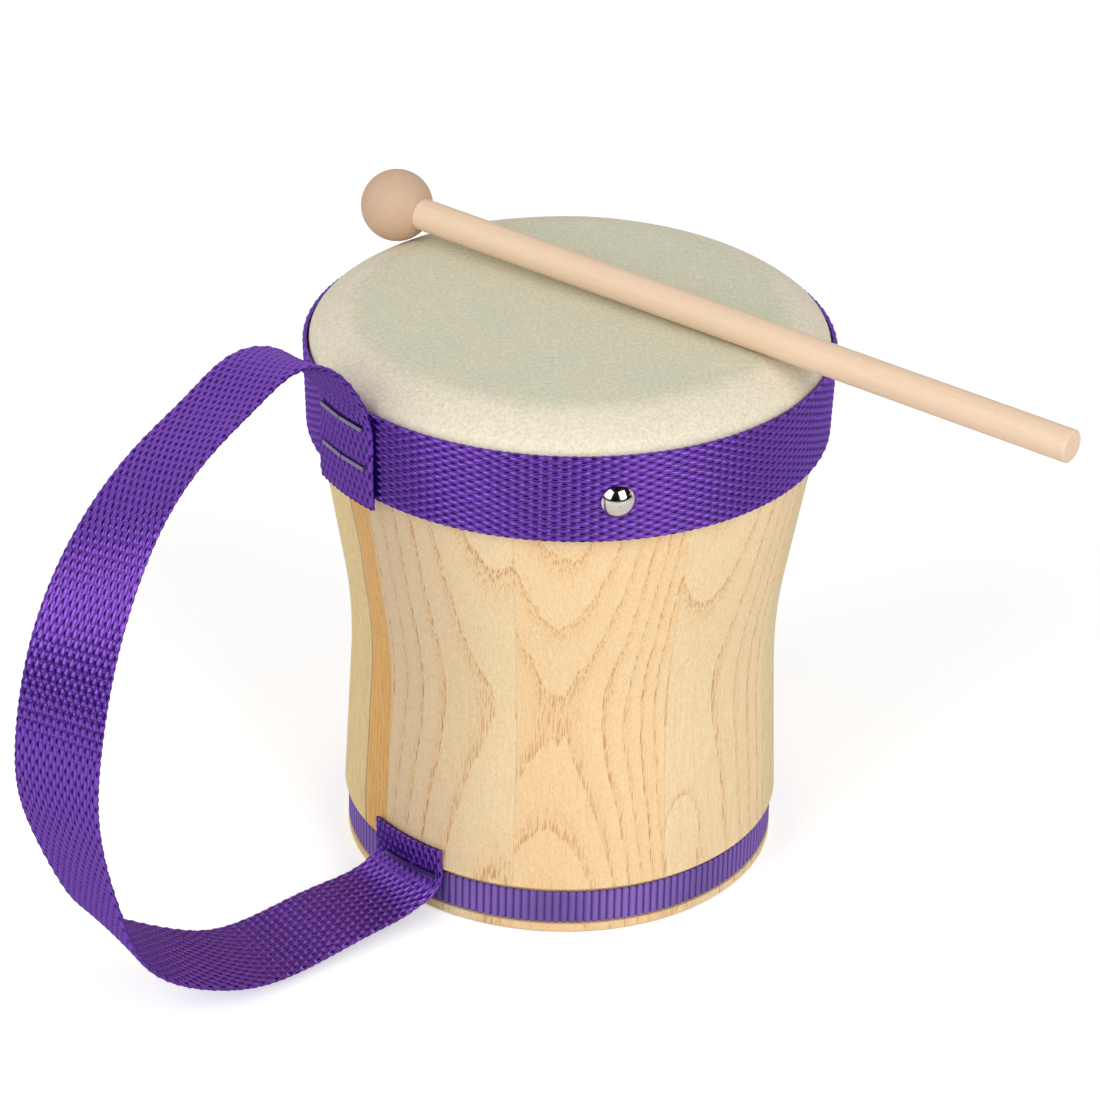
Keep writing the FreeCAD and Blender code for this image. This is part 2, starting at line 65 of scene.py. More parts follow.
MM = 0.001
BAND_LOW, BAND_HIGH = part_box("upper_band")
TAPE_LOW, TAPE_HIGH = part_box("lower_band")
HEAD_LOW, HEAD_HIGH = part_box("drum_head")
STAVE_COUNT = len([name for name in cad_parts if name.startswith("stave_")])
FIRST_JOINT = 11.5  # degrees from the front to the first stave's first glue joint
STEPS_PER_PICK = 4  # mesh rows along the webbing for each weft pick
HEAD_TURNS = 288  # mesh columns round the head


# Colours and nodes


def colour(code):
    """A linear colour from an sRGB hex value."""
    shares = [int(code[start:start + 2], 16) / 255 for start in (0, 2, 4)]
    return [
        share / 12.92 if share <= 0.04045 else ((share + 0.055) / 1.055) ** 2.4
        for share in shares
    ]


def solid(rgb):
    """A colour with full opacity, as a shader's socket takes it."""
    return (rgb[0], rgb[1], rgb[2], 1.0)


def add_node(tree, kind, sockets=None, **settings):
    """Adds a node with its settings and links; its kind comes without the ShaderNode prefix.

    A socket gets a value, a link from a socket, or one from a node's first output in use.
    """
    node = tree.nodes.new("ShaderNode" + kind)
    for name, value in settings.items():
        setattr(node, name, value)
    for name, value in (sockets or {}).items():
        if isinstance(value, bpy.types.Node):
            value = next(output for output in value.outputs if output.enabled)
        if isinstance(value, bpy.types.NodeSocket):
            tree.links.new(value, node.inputs[name])
        else:
            node.inputs[name].default_value = value
    return node


def sized_pattern(tree, place, kind, cell, sockets, **settings):
    """Noise or cells of the given size along x, y and z, in the unit of the place."""
    scale = tuple(1 / length for length in cell)
    scaled = add_node(tree, "VectorMath", {0: place, 1: scale}, operation="MULTIPLY")
    return add_node(tree, kind, {"Vector": scaled, "Scale": 1.0, **sockets}, **settings)


def new_material(name):
    """An empty node material and its tree."""
    material = bpy.data.materials.new(name)
    material.use_nodes = True
    material.node_tree.nodes.clear()
    return material, material.node_tree


def finish_material(tree, shader):
    """Joins the shader to the material's output."""
    add_node(tree, "OutputMaterial", {"Surface": shader})


# Meshes


def new_piece(name, points, faces, material, smooth=True, along=None, rise=None):
    """A mesh object from points in metres.

    along gives its places on the cloth as UVs, and rise how far the yarn stands up.
    """
    mesh = bpy.data.meshes.new(name)
    mesh.from_pydata(points.reshape(-1, 3).tolist(), [], faces)
    mesh.update()
    if along is not None:
        layer = mesh.uv_layers.new(name="cloth")
        corners = np.empty(len(mesh.loops), dtype=np.int32)
        mesh.loops.foreach_get("vertex_index", corners)
        layer.data.foreach_set("uv", along.reshape(-1, 2)[corners].ravel())
    if rise is not None:
        values = mesh.attributes.new("rise", "FLOAT", "POINT")
        values.data.foreach_set("value", rise.ravel())
    mesh.polygons.foreach_set("use_smooth", [smooth] * len(mesh.polygons))
    mesh.materials.append(material)
    piece = bpy.data.objects.new(name, mesh)
    bpy.context.scene.collection.objects.link(piece)
    return piece


def tube_faces(sections, corners, ring):
    """Quads that join closed sections, end to end or round a ring, with its ends closed."""
    faces = []
    for section in range(sections if ring else sections - 1):
        this, following = section * corners, (section + 1) % sections * corners
        for corner in range(corners):
            beside = (corner + 1) % corners
            faces.append((this + corner, this + beside, following + beside, following + corner))
    if not ring:
        faces.append(tuple(range(corners - 1, -1, -1)))
        faces.append(tuple(range((sections - 1) * corners, sections * corners)))
    return faces


def spun(outline, turns):
    """Points of a closed outline of (radius, height) pairs spun about the upright axis."""
    bearings = np.linspace(0, 2 * np.pi, turns, endpoint=False)[:, None]
    radius, height = np.asarray(outline).T
    return np.stack(
        [np.cos(bearings) * radius, np.sin(bearings) * radius, np.ones_like(bearings) * height],
        axis=-1
    )


def around(bearing, radius, height):
    """Points at bearings that count from the front towards the strap."""
    sides = np.broadcast_arrays(-np.sin(bearing) * radius, -np.cos(bearing) * radius, height)
    return np.stack(sides, axis=-1)


def unit(rows):
    """Rows of vectors, each with a length of 1."""
    return rows / np.linalg.norm(rows, axis=1)[:, None]


def square_to(ways, rows):
    """Unit vectors of the rows, made square to the ways."""
    return unit(rows - ways * np.sum(rows * ways, axis=1)[:, None])


def travelled_along(points):
    """How far along the line of points each one lies."""
    return np.concatenate([[0], np.cumsum(np.linalg.norm(np.diff(points, axis=0), axis=1))])


def dress(name, material):
    """Gives a CAD piece its material."""
    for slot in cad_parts[name].material_slots:
        slot.material = material


# The webbing's weave


def weave_rise(along, across, pick, end_width):
    """How far the yarn stands at each place, from 0 in the gaps to 1 on the floats.

    The warp ends lie side by side and each passes over one pick and under the next, half a
    repeat out of step with its neighbours, so their floats make a brick pattern.
    """
    half_yarn = 0.77 * end_width
    swing, body = 0.4, 0.6
    number = np.floor(across / end_width)
    best = np.full(along.shape, -swing)
    for step in (-1, 0, 1):
        end = number + step
        off = (across - (end + 0.5) * end_width) / half_yarn
        round_top = np.sqrt(np.clip(1 - off**2, 0, 1))
        wave = np.cos(np.pi * (along / pick - end))
        crest = swing * (1.5 * wave - 0.5 * wave**3)
        here = np.where(np.abs(off) < 1, crest + body * round_top, -swing)
        best = np.maximum(best, here)
    return np.clip((best + swing) / (2 * swing + body), 0, 1)


def webbing_places(width, per_end, ends, edge):
    """Places across the webbing, closer together where its selvedges round off."""
    inner = np.linspace(-width / 2 + edge, width / 2 - edge, int(ends * per_end) + 1)
    rim = edge * np.array([1.0, 0.85, 0.45])
    low = -width / 2 + edge - rim
    return np.concatenate([low, inner, -low[::-1]])


def webbing_section(along, across, cloth, edge):
    """For places on both faces: the place across, how far off the middle, and the yarn's rise."""
    half, end_width = cloth.width / 2, cloth.width / cloth.ends
    near_edge = np.clip((np.abs(across) - half + edge) / edge, 0, 1)
    round_off = np.sqrt(1 - near_edge**2)
    deep = cloth.weave_depth
    top = weave_rise(along, across + half, cloth.pick, end_width)
    bottom = weave_rise(along + cloth.pick, across + half, cloth.pick, end_width)
    top_lift = round_off * (cloth.thickness / 2 - deep * (1 - top))
    bottom_lift = -round_off * (cloth.thickness / 2 - deep * (1 - bottom))
    scallop = near_edge * cloth.selvedge * (0.5 - 0.5 * np.cos(2 * np.pi * along / cloth.pick))
    pulled = across - np.sign(across) * scallop
    return pulled, top_lift, bottom_lift, top, bottom


def webbing_mesh(name, cloth, lengths, frame_at, material, back_every=1):
    """Woven webbing laid along a path: frame_at gives each length's middle, across and out.

    back_every thins out the columns of a back that lies hidden against something.
    """
    edge = 0.55 * cloth.thickness  # how far in the selvedges round off
    across = webbing_places(cloth.width, cloth.samples, cloth.ends, edge)
    along_grid, across_grid = np.meshgrid(lengths, across, indexing="ij")
    pulled, top, bottom, top_rise, bottom_rise = webbing_section(
        along_grid, across_grid, cloth, edge
    )
    middle, sideways, outward, cup = frame_at(lengths)
    bend = cup[:, None] * (across_grid / (cloth.width / 2)) ** 2

    def laid(lift):
        """Points at this lift off the cloth's middle."""
        return (
            middle[:, None, :]
            + sideways[:, None, :] * pulled[..., None]
            + outward[:, None, :] * (lift - bend)[..., None]
        )

    def back(grid):
        """The back's columns, from the far edge to the near one, without the shared edges."""
        return grid[:, ::-1][:, 1:-1][:, ::back_every]

    places = np.stack([along_grid, across_grid], axis=-1)
    points = np.concatenate([laid(top), back(laid(bottom))], axis=1)
    rise = np.concatenate([top_rise, back(bottom_rise)], axis=1)
    cloth_places = np.concatenate([places, back(places)], axis=1)
    faces = tube_faces(len(lengths), points.shape[1], False)
    return new_piece(name, points, faces, material, along=cloth_places, rise=rise)


# Materials


def ash_material(name, stave, wood):
    """Flat-sawn ash, turned, sanded and varnished satin.

    Ash is ring-porous: each growth ring starts with a band of large open pores. The eye sees
    them as brown dashes a few millimetres long, in nested arches where the turned waist cuts
    the rings and in long lines down the stave's sides.
    """
    material, tree = new_material(name)
    place = add_node(tree, "TexCoord").outputs["Object"]
    faced = add_node(
        tree, "VectorRotate", {"Vector": place, "Angle": math.radians(stave["bearing"])},
        rotation_type="Z_AXIS"
    )
    in_mm = add_node(tree, "VectorMath", {0: faced, "Scale": 1 / MM}, operation="SCALE")
    # Each stave was sawn from another log, so its noise is read from another place.
    shifted = add_node(
        tree, "VectorMath", {0: in_mm, 1: (stave["seed"] * 137.0, 0, 0)}, operation="ADD"
    )
    # Slow waviness of the rings: swells about 28 mm across and 80 mm along the grain.
    wavy = sized_pattern(
        tree, shifted, "TexNoise", (28, 28, 80), {"Detail": 2.0, "Roughness": 0.45}
    )
    # Small waviness of 2 mm swells keeps the ring lines from looking drawn.
    ragged = sized_pattern(tree, shifted, "TexNoise", (2.0, 2.0, 9), {"Detail": 1.0})
    # The log's heart, leaning a little against the stave.
    sheared = add_node(tree, "SeparateXYZ", {0: in_mm})
    lean_out = add_node(
        tree, "Math", {0: sheared.outputs["Z"], 1: stave["lean"], 2: sheared.outputs["Y"]},
        operation="MULTIPLY_ADD"
    )
    lean_side = add_node(
        tree, "Math", {0: sheared.outputs["Z"], 1: stave["drift"], 2: sheared.outputs["X"]},
        operation="MULTIPLY_ADD"
    )
    flat = add_node(tree, "CombineXYZ", {0: lean_side, 1: lean_out})
    heart_turn, heart_out = math.radians(stave["heart_turn"]), stave["heart_out"]
    heart = (heart_out * math.sin(heart_turn), -heart_out * math.cos(heart_turn), 0)
    from_heart = add_node(tree, "VectorMath", {0: flat, 1: heart}, operation="SUBTRACT")
    reach = add_node(tree, "VectorMath", {0: from_heart}, operation="LENGTH")
    # A swelling in the log, some 8 mm wide and 16 mm high, that closes a ring to an oval.
    oval_side, oval_height = stave["oval"]
    to_oval = add_node(
        tree, "VectorMath",
        {0: in_mm, 1: (1 / 8, 0, 1 / 16), 2: (-oval_side / 8, 0, -oval_height / 16)},
        operation="MULTIPLY_ADD"
    )
    oval_reach = add_node(tree, "VectorMath", {0: to_oval}, operation="LENGTH")
    swell = add_node(
        tree, "MapRange", {"Value": oval_reach, "To Min": -stave["swell"], "To Max": 0.0},
        interpolation_type="SMOOTHSTEP"
    )
    swollen = add_node(tree, "Math", {0: reach, 1: swell}, operation="ADD")
    swayed = add_node(
        tree, "Math", {0: wavy, 1: wood.wander / MM, 2: swollen}, operation="MULTIPLY_ADD"
    )
    frayed = add_node(tree, "Math", {0: ragged, 1: 0.5, 2: swayed}, operation="MULTIPLY_ADD")
    # The mean of both noises, 0.5, is taken off again, so that a ring starts at first.
    from_first = add_node(
        tree, "Math", {0: frayed, 1: stave["first"] + 0.5 * (wood.wander / MM + 0.5)},
        operation="SUBTRACT"
    )
    rings = add_node(tree, "Math", {0: from_first, 1: stave["ring"]}, operation="DIVIDE")
    phase = add_node(tree, "Math", {0: rings}, operation="FRACT")
    number = add_node(tree, "Math", {0: rings}, operation="FLOOR")
    year = add_node(tree, "TexWhiteNoise", {"W": number}, noise_dimensions="1D")
    # The porous early wood: it starts at once and thins out over this stave's share of a ring.
    early = add_node(
        tree, "MapRange",
        {"Value": phase, "From Max": stave["early"], "To Min": 1.0, "To Max": 0.0}
    )
    start = add_node(tree, "MapRange", {"Value": phase, "From Min": 0.97})
    porous = add_node(tree, "Math", {0: early, 1: start}, operation="MAXIMUM")
    # Pores are 0.25 mm across, lie some 0.4 mm apart and run 7 mm along the grain: the waist,
    # where the face lies along them, opens them in long dashes, and the slopes in short ones.
    pores = sized_pattern(tree, shifted, "TexVoronoi", (0.4, 0.4, 7), {})
    reach_of_pore = add_node(tree, "MapRange", {"Value": porous, "To Min": 0.14, "To Max": 0.5})
    inside = add_node(tree, "Math", {0: reach_of_pore, 1: pores}, operation="SUBTRACT")
    pore = add_node(tree, "MapRange", {"Value": inside, "From Max": 0.1})
    # Some rings are fainter than others.
    strong = add_node(tree, "MapRange", {"Value": year, "To Min": 0.65})
    marked = add_node(tree, "Math", {0: porous, 1: strong}, operation="MULTIPLY")
    pore_mark = add_node(tree, "Math", {0: pore, 1: marked}, operation="MULTIPLY")
    # Fine vessels and rays speckle all of the wood, in cells 0.35 mm wide and 1.2 mm long.
    speckle = sized_pattern(tree, shifted, "TexNoise", (0.35, 0.35, 1.2), {"Detail": 1.0})
    # Fibres: streaks 0.5 mm wide and 25 mm long.
    fibre = sized_pattern(
        tree, shifted, "TexNoise", (0.5, 0.5, 25), {"Detail": 2.0, "Roughness": 0.6}
    )
    # Painted shade: a stave's shade slope paints it warmer and darker towards one side, where the
    # light fell off; the slow waviness mixes in the warmer wood as well.
    warm_and_shade_share = add_node(
        tree, "Math", {0: sheared.outputs["X"], 1: stave["painted_shade"], 2: wavy},
        operation="MULTIPLY_ADD", use_clamp=True
    )
    pale = add_node(
        tree, "Mix", {0: warm_and_shade_share, 6: solid(stave["pale"]), 7: solid(stave["warm"])},
        data_type="RGBA"
    )
    streak_share = add_node(
        tree, "MapRange",
        {"Value": fibre, "From Min": 0.35, "From Max": 0.75, "To Max": stave["streaky"]}
    )
    streaked = add_node(
        tree, "Mix", {0: streak_share, 6: pale, 7: solid(stave["streak"])}, data_type="RGBA"
    )
    band_share = add_node(tree, "Math", {0: marked, 1: 0.4}, operation="MULTIPLY")
    banded = add_node(
        tree, "Mix", {0: band_share, 6: streaked, 7: solid(wood.early_tint)}, data_type="RGBA"
    )
    pore_share = add_node(tree, "Math", {0: pore_mark, 1: 0.8}, operation="MULTIPLY")
    dashed = add_node(
        tree, "Mix", {0: pore_share, 6: banded, 7: solid(wood.pore_tint)}, data_type="RGBA"
    )
    # A streak of heartwood down one side of a stave, with a dark line where it starts.
    across = add_node(
        tree, "Math", {0: wavy, 1: 16.0, 2: sheared.outputs["X"]}, operation="MULTIPLY_ADD"
    )
    streak_part = add_node(
        tree, "MapRange",
        {
            "Value": across, "From Min": stave["dark_from"], "From Max": stave["dark_from"] + 1.2,
            "To Max": stave["dark"]
        },
        interpolation_type="SMOOTHSTEP"
    )
    toned = add_node(
        tree, "Mix", {0: streak_part, 6: dashed, 7: solid(wood.heart_tint)}, data_type="RGBA",
        blend_type="MULTIPLY"
    )
    off_line = add_node(
        tree, "Math", {0: across, 1: stave["dark_from"], 2: 0.45}, operation="COMPARE"
    )
    line_part = add_node(tree, "Math", {0: off_line, 1: 0.7 * stave["dark"]}, operation="MULTIPLY")
    lined = add_node(
        tree, "Mix", {0: line_part, 6: toned, 7: solid(wood.pore_tint)}, data_type="RGBA"
    )
    speckled = add_node(
        tree, "MapRange",
        {"Value": speckle, "From Min": 0.25, "From Max": 0.75, "To Min": 0.89, "To Max": 1.08}
    )
    grained = add_node(tree, "HueSaturation", {"Color": lined, "Value": speckled})
    # The glue line between staves, a darker thread 0.25 mm wide.
    spread = add_node(tree, "Math", {0: sheared.outputs["X"]}, operation="ABSOLUTE")
    slope = add_node(
        tree, "Math", {0: sheared.outputs["Y"], 1: math.tan(math.pi / STAVE_COUNT), 2: spread},
        operation="MULTIPLY_ADD"
    )
    glue = add_node(
        tree, "MapRange", {"Value": slope, "From Min": -0.28, "From Max": -0.08, "To Max": 0.15}
    )
    glued = add_node(
        tree, "Mix", {0: glue, 6: grained, 7: solid(wood.glue_tint)}, data_type="RGBA",
        blend_type="MULTIPLY"
    )
    hollow = add_node(tree, "Math", {0: pore_mark, 1: -1.0, 2: fibre}, operation="MULTIPLY_ADD")
    bump = add_node(tree, "Bump", {"Height": hollow, "Strength": 0.25, "Distance": 0.08 * MM})
    gloss = add_node(tree, "MapRange", {"Value": pore_mark, "To Min": 0.48, "To Max": 0.66})
    shader = add_node(
        tree, "BsdfPrincipled",
        {
            "Base Color": glued, "Roughness": gloss, "Normal": bump, "IOR": 1.5,
            "Coat Weight": 0.08, "Coat Roughness": 0.32, "Coat IOR": 1.5
        }
    )
    finish_material(tree, shader)
    return material


def rawhide_material(head):
    """Dried rawhide: a dull, faintly mottled skin.

    Over the open shell the light sinks through it and it is painted grey-green; towards the rim
    it is painted creamy, partly because it lies on the wood there and partly as painted light, for
    the shoulder that faced the softboxes while the top got less light. Fine follicle grain breaks
    up its sheen.
    """
    material, tree = new_material("rawhide_dried")
    place = add_node(tree, "TexCoord").outputs["Object"]
    cloud = add_node(
        tree, "TexNoise",
        {"Vector": place, "Scale": 1 / (16 * MM), "Detail": 3.0, "Roughness": 0.6}
    )
    mottle = add_node(
        tree, "TexNoise",
        {"Vector": place, "Scale": 1 / (3.2 * MM), "Detail": 3.0, "Roughness": 0.65}
    )
    # Follicle grain about 1 mm apart.
    grain = add_node(
        tree, "TexNoise",
        {"Vector": place, "Scale": 1 / (1.0 * MM), "Detail": 2.0, "Roughness": 0.7}
    )
    flat = add_node(tree, "VectorMath", {0: place, 1: (1, 1, 0)}, operation="MULTIPLY")
    reach = add_node(tree, "VectorMath", {0: flat}, operation="LENGTH")
    # The creamy rim is partly painted light: the shoulder is painted lighter, as if lit by the
    # softboxes, as well as for the wood behind the skin.
    edge = add_node(tree, "Math", {0: cloud, 1: 5 * MM, 2: reach}, operation="MULTIPLY_ADD")
    backed_and_lit = add_node(
        tree, "MapRange",
        {"Value": edge, "From Min": head.backed_and_lit_from, "From Max": head.backed_and_lit_to},
        interpolation_type="SMOOTHSTEP"
    )
    cloud_share = add_node(tree, "MapRange", {"Value": cloud, "From Min": 0.35, "From Max": 0.65})
    open_tone = add_node(
        tree, "Mix", {0: cloud_share, 6: solid(head.open_tint), 7: solid(head.cloud_tint)},
        data_type="RGBA"
    )
    toned = add_node(
        tree, "Mix", {0: backed_and_lit, 6: open_tone, 7: solid(head.rim_backed_and_lit_tint)}, data_type="RGBA"
    )
    speck_share = add_node(
        tree, "MapRange", {"Value": mottle, "From Min": 0.5, "From Max": 0.75, "To Max": 0.35}
    )
    specked = add_node(
        tree, "Mix", {0: speck_share, 6: toned, 7: solid(head.fleck_tint)}, data_type="RGBA"
    )
    # The grain's pits are painted a little darker than the ridges between them, a painted shade.
    grain_shade = add_node(
        tree, "MapRange",
        {"Value": grain, "From Min": 0.3, "From Max": 0.7, "To Min": 0.86, "To Max": 1.12}
    )
    grained = add_node(tree, "HueSaturation", {"Color": specked, "Value": grain_shade})
    rough_skin = add_node(tree, "Math", {0: mottle, 1: 0.5, 2: grain}, operation="MULTIPLY_ADD")
    bump = add_node(tree, "Bump", {"Height": rough_skin, "Strength": 0.35, "Distance": 0.15 * MM})
    shader = add_node(
        tree, "BsdfPrincipled",
        {
            "Base Color": grained, "Normal": bump, "IOR": 1.45, "Roughness": 0.62,
            "Subsurface Weight": 0.12, "Subsurface Radius": (1.0, 0.8, 0.5),
            "Subsurface Scale": 1.2 * MM
        }
    )
    finish_material(tree, shader)
    return material


def weave_nodes(tree, cloth, webbing):
    """A plain weave: painted shade for the dark slots where an end dives between two that stand
    proud and for the thin seams between the ends, and how far the yarn swells at each place.
    """
    along_across = add_node(tree, "SeparateXYZ", {0: cloth})
    ends_across = add_node(
        tree, "Math",
        {0: along_across.outputs["Y"], 1: webbing.ends / webbing.width, 2: webbing.ends / 2},
        operation="MULTIPLY_ADD"
    )
    end = add_node(tree, "Math", {0: ends_across}, operation="FLOOR")
    within = add_node(tree, "Math", {0: ends_across}, operation="FRACT")
    off_middle = add_node(tree, "Math", {0: within, 1: 0.5}, operation="SUBTRACT")
    off = add_node(tree, "Math", {0: off_middle}, operation="ABSOLUTE")
    picks = add_node(
        tree, "Math", {0: along_across.outputs["X"], 1: webbing.pick}, operation="DIVIDE"
    )
    step = add_node(tree, "Math", {0: picks, 1: end}, operation="SUBTRACT")
    turn = add_node(tree, "Math", {0: step, 1: math.pi}, operation="MULTIPLY")
    crest = add_node(tree, "Math", {0: turn}, operation="COSINE")
    spread = add_node(tree, "Math", {0: off, 1: 2.4, 2: crest}, operation="MULTIPLY_ADD")
    # Painted shade: the slots are painted dark where an end dives under its neighbours.
    slots = add_node(
        tree, "MapRange",
        {"Value": spread, "From Min": -0.7, "From Max": 0.15, "To Min": 1.0, "To Max": 0.0},
        interpolation_type="SMOOTHSTEP"
    )
    # Painted shade along the seams between the ends.
    seam_shade = add_node(
        tree, "MapRange", {"Value": off, "From Min": 0.34, "From Max": 0.5, "To Max": 0.6}
    )
    sunk_shade = add_node(tree, "Math", {0: slots, 1: seam_shade}, operation="MAXIMUM")
    squared = add_node(tree, "Math", {0: off, 1: off}, operation="MULTIPLY")
    # The floats are flat along the cloth and drop steeply at both ends.
    flat_top = add_node(
        tree, "MapRange", {"Value": crest, "From Min": -0.9, "From Max": 0.3},
        interpolation_type="SMOOTHSTEP"
    )
    swell = add_node(tree, "Math", {0: squared, 1: -7.5, 2: flat_top}, operation="MULTIPLY_ADD")
    return sunk_shade, swell


def webbing_material(name, webbing, filament, woven=True):
    """Polypropylene webbing, woven of bright filament yarn.

    The floats shine like satin; they are painted lighter where they stand proud and the gaps
    between them are painted nearly black-purple, as painted light and shade.
    """
    material, tree = new_material(name)
    cloth = add_node(tree, "UVMap", uv_map="cloth")
    # Filaments run along the yarn: streaks drawn 0.2 to 0.25 mm wide, coarser than real ones.
    thread = sized_pattern(
        tree, cloth, "TexNoise", (2.0 * MM, filament * MM, 1), {"Detail": 2.0, "Roughness": 0.5},
        noise_dimensions="2D"
    )
    # Slow changes in the dye along the cloth, over some 12 mm.
    dye = add_node(
        tree, "TexNoise", {"Vector": cloth, "Scale": 1 / (12 * MM), "Detail": 1.0},
        noise_dimensions="2D"
    )
    rise = add_node(tree, "Attribute", attribute_name="rise")
    # Painted light: the yarn is painted lighter the higher it stands, as if lit from above.
    lit = add_node(
        tree, "MapRange", {"Value": rise.outputs["Fac"], "From Min": 0.35, "From Max": 0.95},
        interpolation_type="SMOOTHSTEP"
    )
    yarn = add_node(
        tree, "Mix", {0: lit, 6: solid(webbing.yarn_tint), 7: solid(webbing.lit_float_tint)},
        data_type="RGBA"
    )
    # Painted shade: the low places of the weave are painted dark.
    sunk_shade = add_node(
        tree, "MapRange",
        {
            "Value": rise.outputs["Fac"], "From Min": 0.15, "From Max": 0.55, "To Min": 1.0,
            "To Max": 0.0
        },
        interpolation_type="SMOOTHSTEP"
    )
    relief = thread
    if woven:
        between, swell = weave_nodes(tree, cloth, webbing)
        relief = add_node(tree, "Math", {0: thread, 1: 0.8, 2: swell}, operation="MULTIPLY_ADD")
        sunk_shade = add_node(tree, "Math", {0: sunk_shade, 1: between}, operation="MAXIMUM")
    # Painted shade: the sunk places take the dark gap colour.
    shaded = add_node(
        tree, "Mix", {0: sunk_shade, 6: yarn, 7: solid(webbing.shaded_gap_tint)}, data_type="RGBA"
    )
    streak = add_node(tree, "Math", {0: dye, 1: 0.5, 2: thread}, operation="MULTIPLY_ADD")
    value = add_node(
        tree, "MapRange",
        {"Value": streak, "From Min": 0.4, "From Max": 1.1, "To Min": 0.82, "To Max": 1.15}
    )
    varied = add_node(tree, "HueSaturation", {"Color": shaded, "Value": value})
    bump = add_node(tree, "Bump", {"Height": relief, "Distance": 0.11 * MM})
    plastic = add_node(
        tree, "BsdfPrincipled",
        {
            "Base Color": varied, "Normal": bump, "IOR": 1.49, "Roughness": 0.5,
            "Specular IOR Level": 0.08
        }
    )
    # Packed filaments reflect like satin, in the yarn's own colour, but not down in the gaps.
    # The gloss fans out square to the filaments, so whole floats light up where the webbing
    # turns towards a lamp.
    lengthwise = add_node(tree, "Tangent", direction_type="UV_MAP", uv_map="cloth")
    satin = add_node(
        tree, "BsdfAnisotropic",
        {
            "Normal": bump, "Tangent": lengthwise, "Color": solid(webbing.sheen_tint),
            "Roughness": webbing.sheen_spread, "Anisotropy": 0.75
        }
    )
    satin_share = add_node(tree, "MapRange", {"Value": sunk_shade, "To Min": 0.6, "To Max": 0.0})
    shader = add_node(tree, "MixShader", {0: satin_share, 1: plastic, 2: satin})
    finish_material(tree, shader)
    return material


def nickel_material(hardware):
    """Nickel-plated pressed steel: a bright mirror, slightly warm, with faint polishing marks."""
    material, tree = new_material("nickel_plated_steel")
    place = add_node(tree, "TexCoord").outputs["Object"]
    marks = add_node(tree, "TexNoise", {"Vector": place, "Scale": 1 / (0.5 * MM), "Detail": 3.0})
    rough = add_node(tree, "MapRange", {"Value": marks, "To Min": 0.06, "To Max": 0.16})
    bump = add_node(tree, "Bump", {"Height": marks, "Strength": 0.06, "Distance": 0.05 * MM})
    shader = add_node(
        tree, "BsdfPrincipled",
        {
            "Roughness": rough, "Normal": bump, "Base Color": solid(hardware.nickel_tint),
            "Metallic": 1.0
        }
    )
    finish_material(tree, shader)
    return material


def wire_material(hardware):
    """Drawn and galvanised steel wire: grey, with the dull streaks that drawing leaves."""
    material, tree = new_material("galvanised_wire_drawn")
    place = add_node(tree, "TexCoord").outputs["Object"]
    streaks = add_node(tree, "TexNoise", {"Vector": place, "Scale": 1 / (0.4 * MM), "Detail": 2.0})
    rough = add_node(tree, "MapRange", {"Value": streaks, "To Min": 0.22, "To Max": 0.5})
    shader = add_node(
        tree, "BsdfPrincipled",
        {"Roughness": rough, "Base Color": solid(hardware.wire_tint), "Metallic": 1.0}
    )
    finish_material(tree, shader)
    return material


def beech_material(name, tint, fleck, low_end, way):
    """Beech, turned and sanded but not coated.

    An even pinkish-beige with short darker flecks along the grain, and no gloss.
    """
    material, tree = new_material(name)
    place = add_node(tree, "TexCoord").outputs["Object"]
    turn = Vector(way).to_track_quat("Z", "Y").inverted().to_euler()
    laid = add_node(
        tree, "VectorRotate", {"Vector": place, "Rotation": turn, "Center": low_end},
        rotation_type="EULER_XYZ"
    )
    # Rays show as flecks, in cells 0.5 mm wide and 3.5 mm long. The grain runs in slow streaks.
    flecks = sized_pattern(tree, laid, "TexVoronoi", (0.5 * MM, 0.5 * MM, 3.5 * MM), {})
    grain = sized_pattern(
        tree, laid, "TexNoise", (1.6 * MM, 1.6 * MM, 40 * MM), {"Detail": 3.0, "Roughness": 0.6}
    )
    grain_share = add_node(
        tree, "MapRange", {"Value": grain, "From Min": 0.35, "From Max": 0.7, "To Max": 0.55}
    )
    darker = [0.9 * part for part in tint]
    grained = add_node(
        tree, "Mix", {0: grain_share, 6: solid(tint), 7: solid(darker)}, data_type="RGBA"
    )
    fleck_share = add_node(
        tree, "MapRange",
        {"Value": flecks, "From Min": 0.1, "From Max": 0.3, "To Min": 0.6, "To Max": 0.0}
    )
    flecked = add_node(
        tree, "Mix", {0: fleck_share, 6: grained, 7: solid(fleck)}, data_type="RGBA"
    )
    bump = add_node(tree, "Bump", {"Height": grain, "Strength": 0.2, "Distance": 0.06 * MM})
    shader = add_node(
        tree, "BsdfPrincipled",
        {"Base Color": flecked, "Normal": bump, "IOR": 1.5, "Roughness": 0.6}
    )
    finish_material(tree, shader)
    return material


# Sizes and colours that a user would change


class DrumWood(PropertyGroup):
    """The staves' wood."""

    wander: FloatProperty(
        name="Ring wander", description="How far the growth rings stray from true circles",
        default=2.4 * MM, unit="LENGTH"
    )
    early_tint: FloatVectorProperty(
        name="Early wood", description="The tint of the porous band of each ring",
        default=colour("E3AE6C"), subtype="COLOR"
    )
    pore_tint: FloatVectorProperty(
        name="Pores", description="The colour of the open pores", default=colour("AE7438"),
        subtype="COLOR"
    )
    heart_tint: FloatVectorProperty(
        name="Heartwood", description="What the streak of heartwood multiplies the wood by",
        default=colour("FADAA8"), subtype="COLOR"
    )
    glue_tint: FloatVectorProperty(
        name="Glue line", description="What a glue line multiplies the wood by",
        default=colour("B08A5C"), subtype="COLOR"
    )


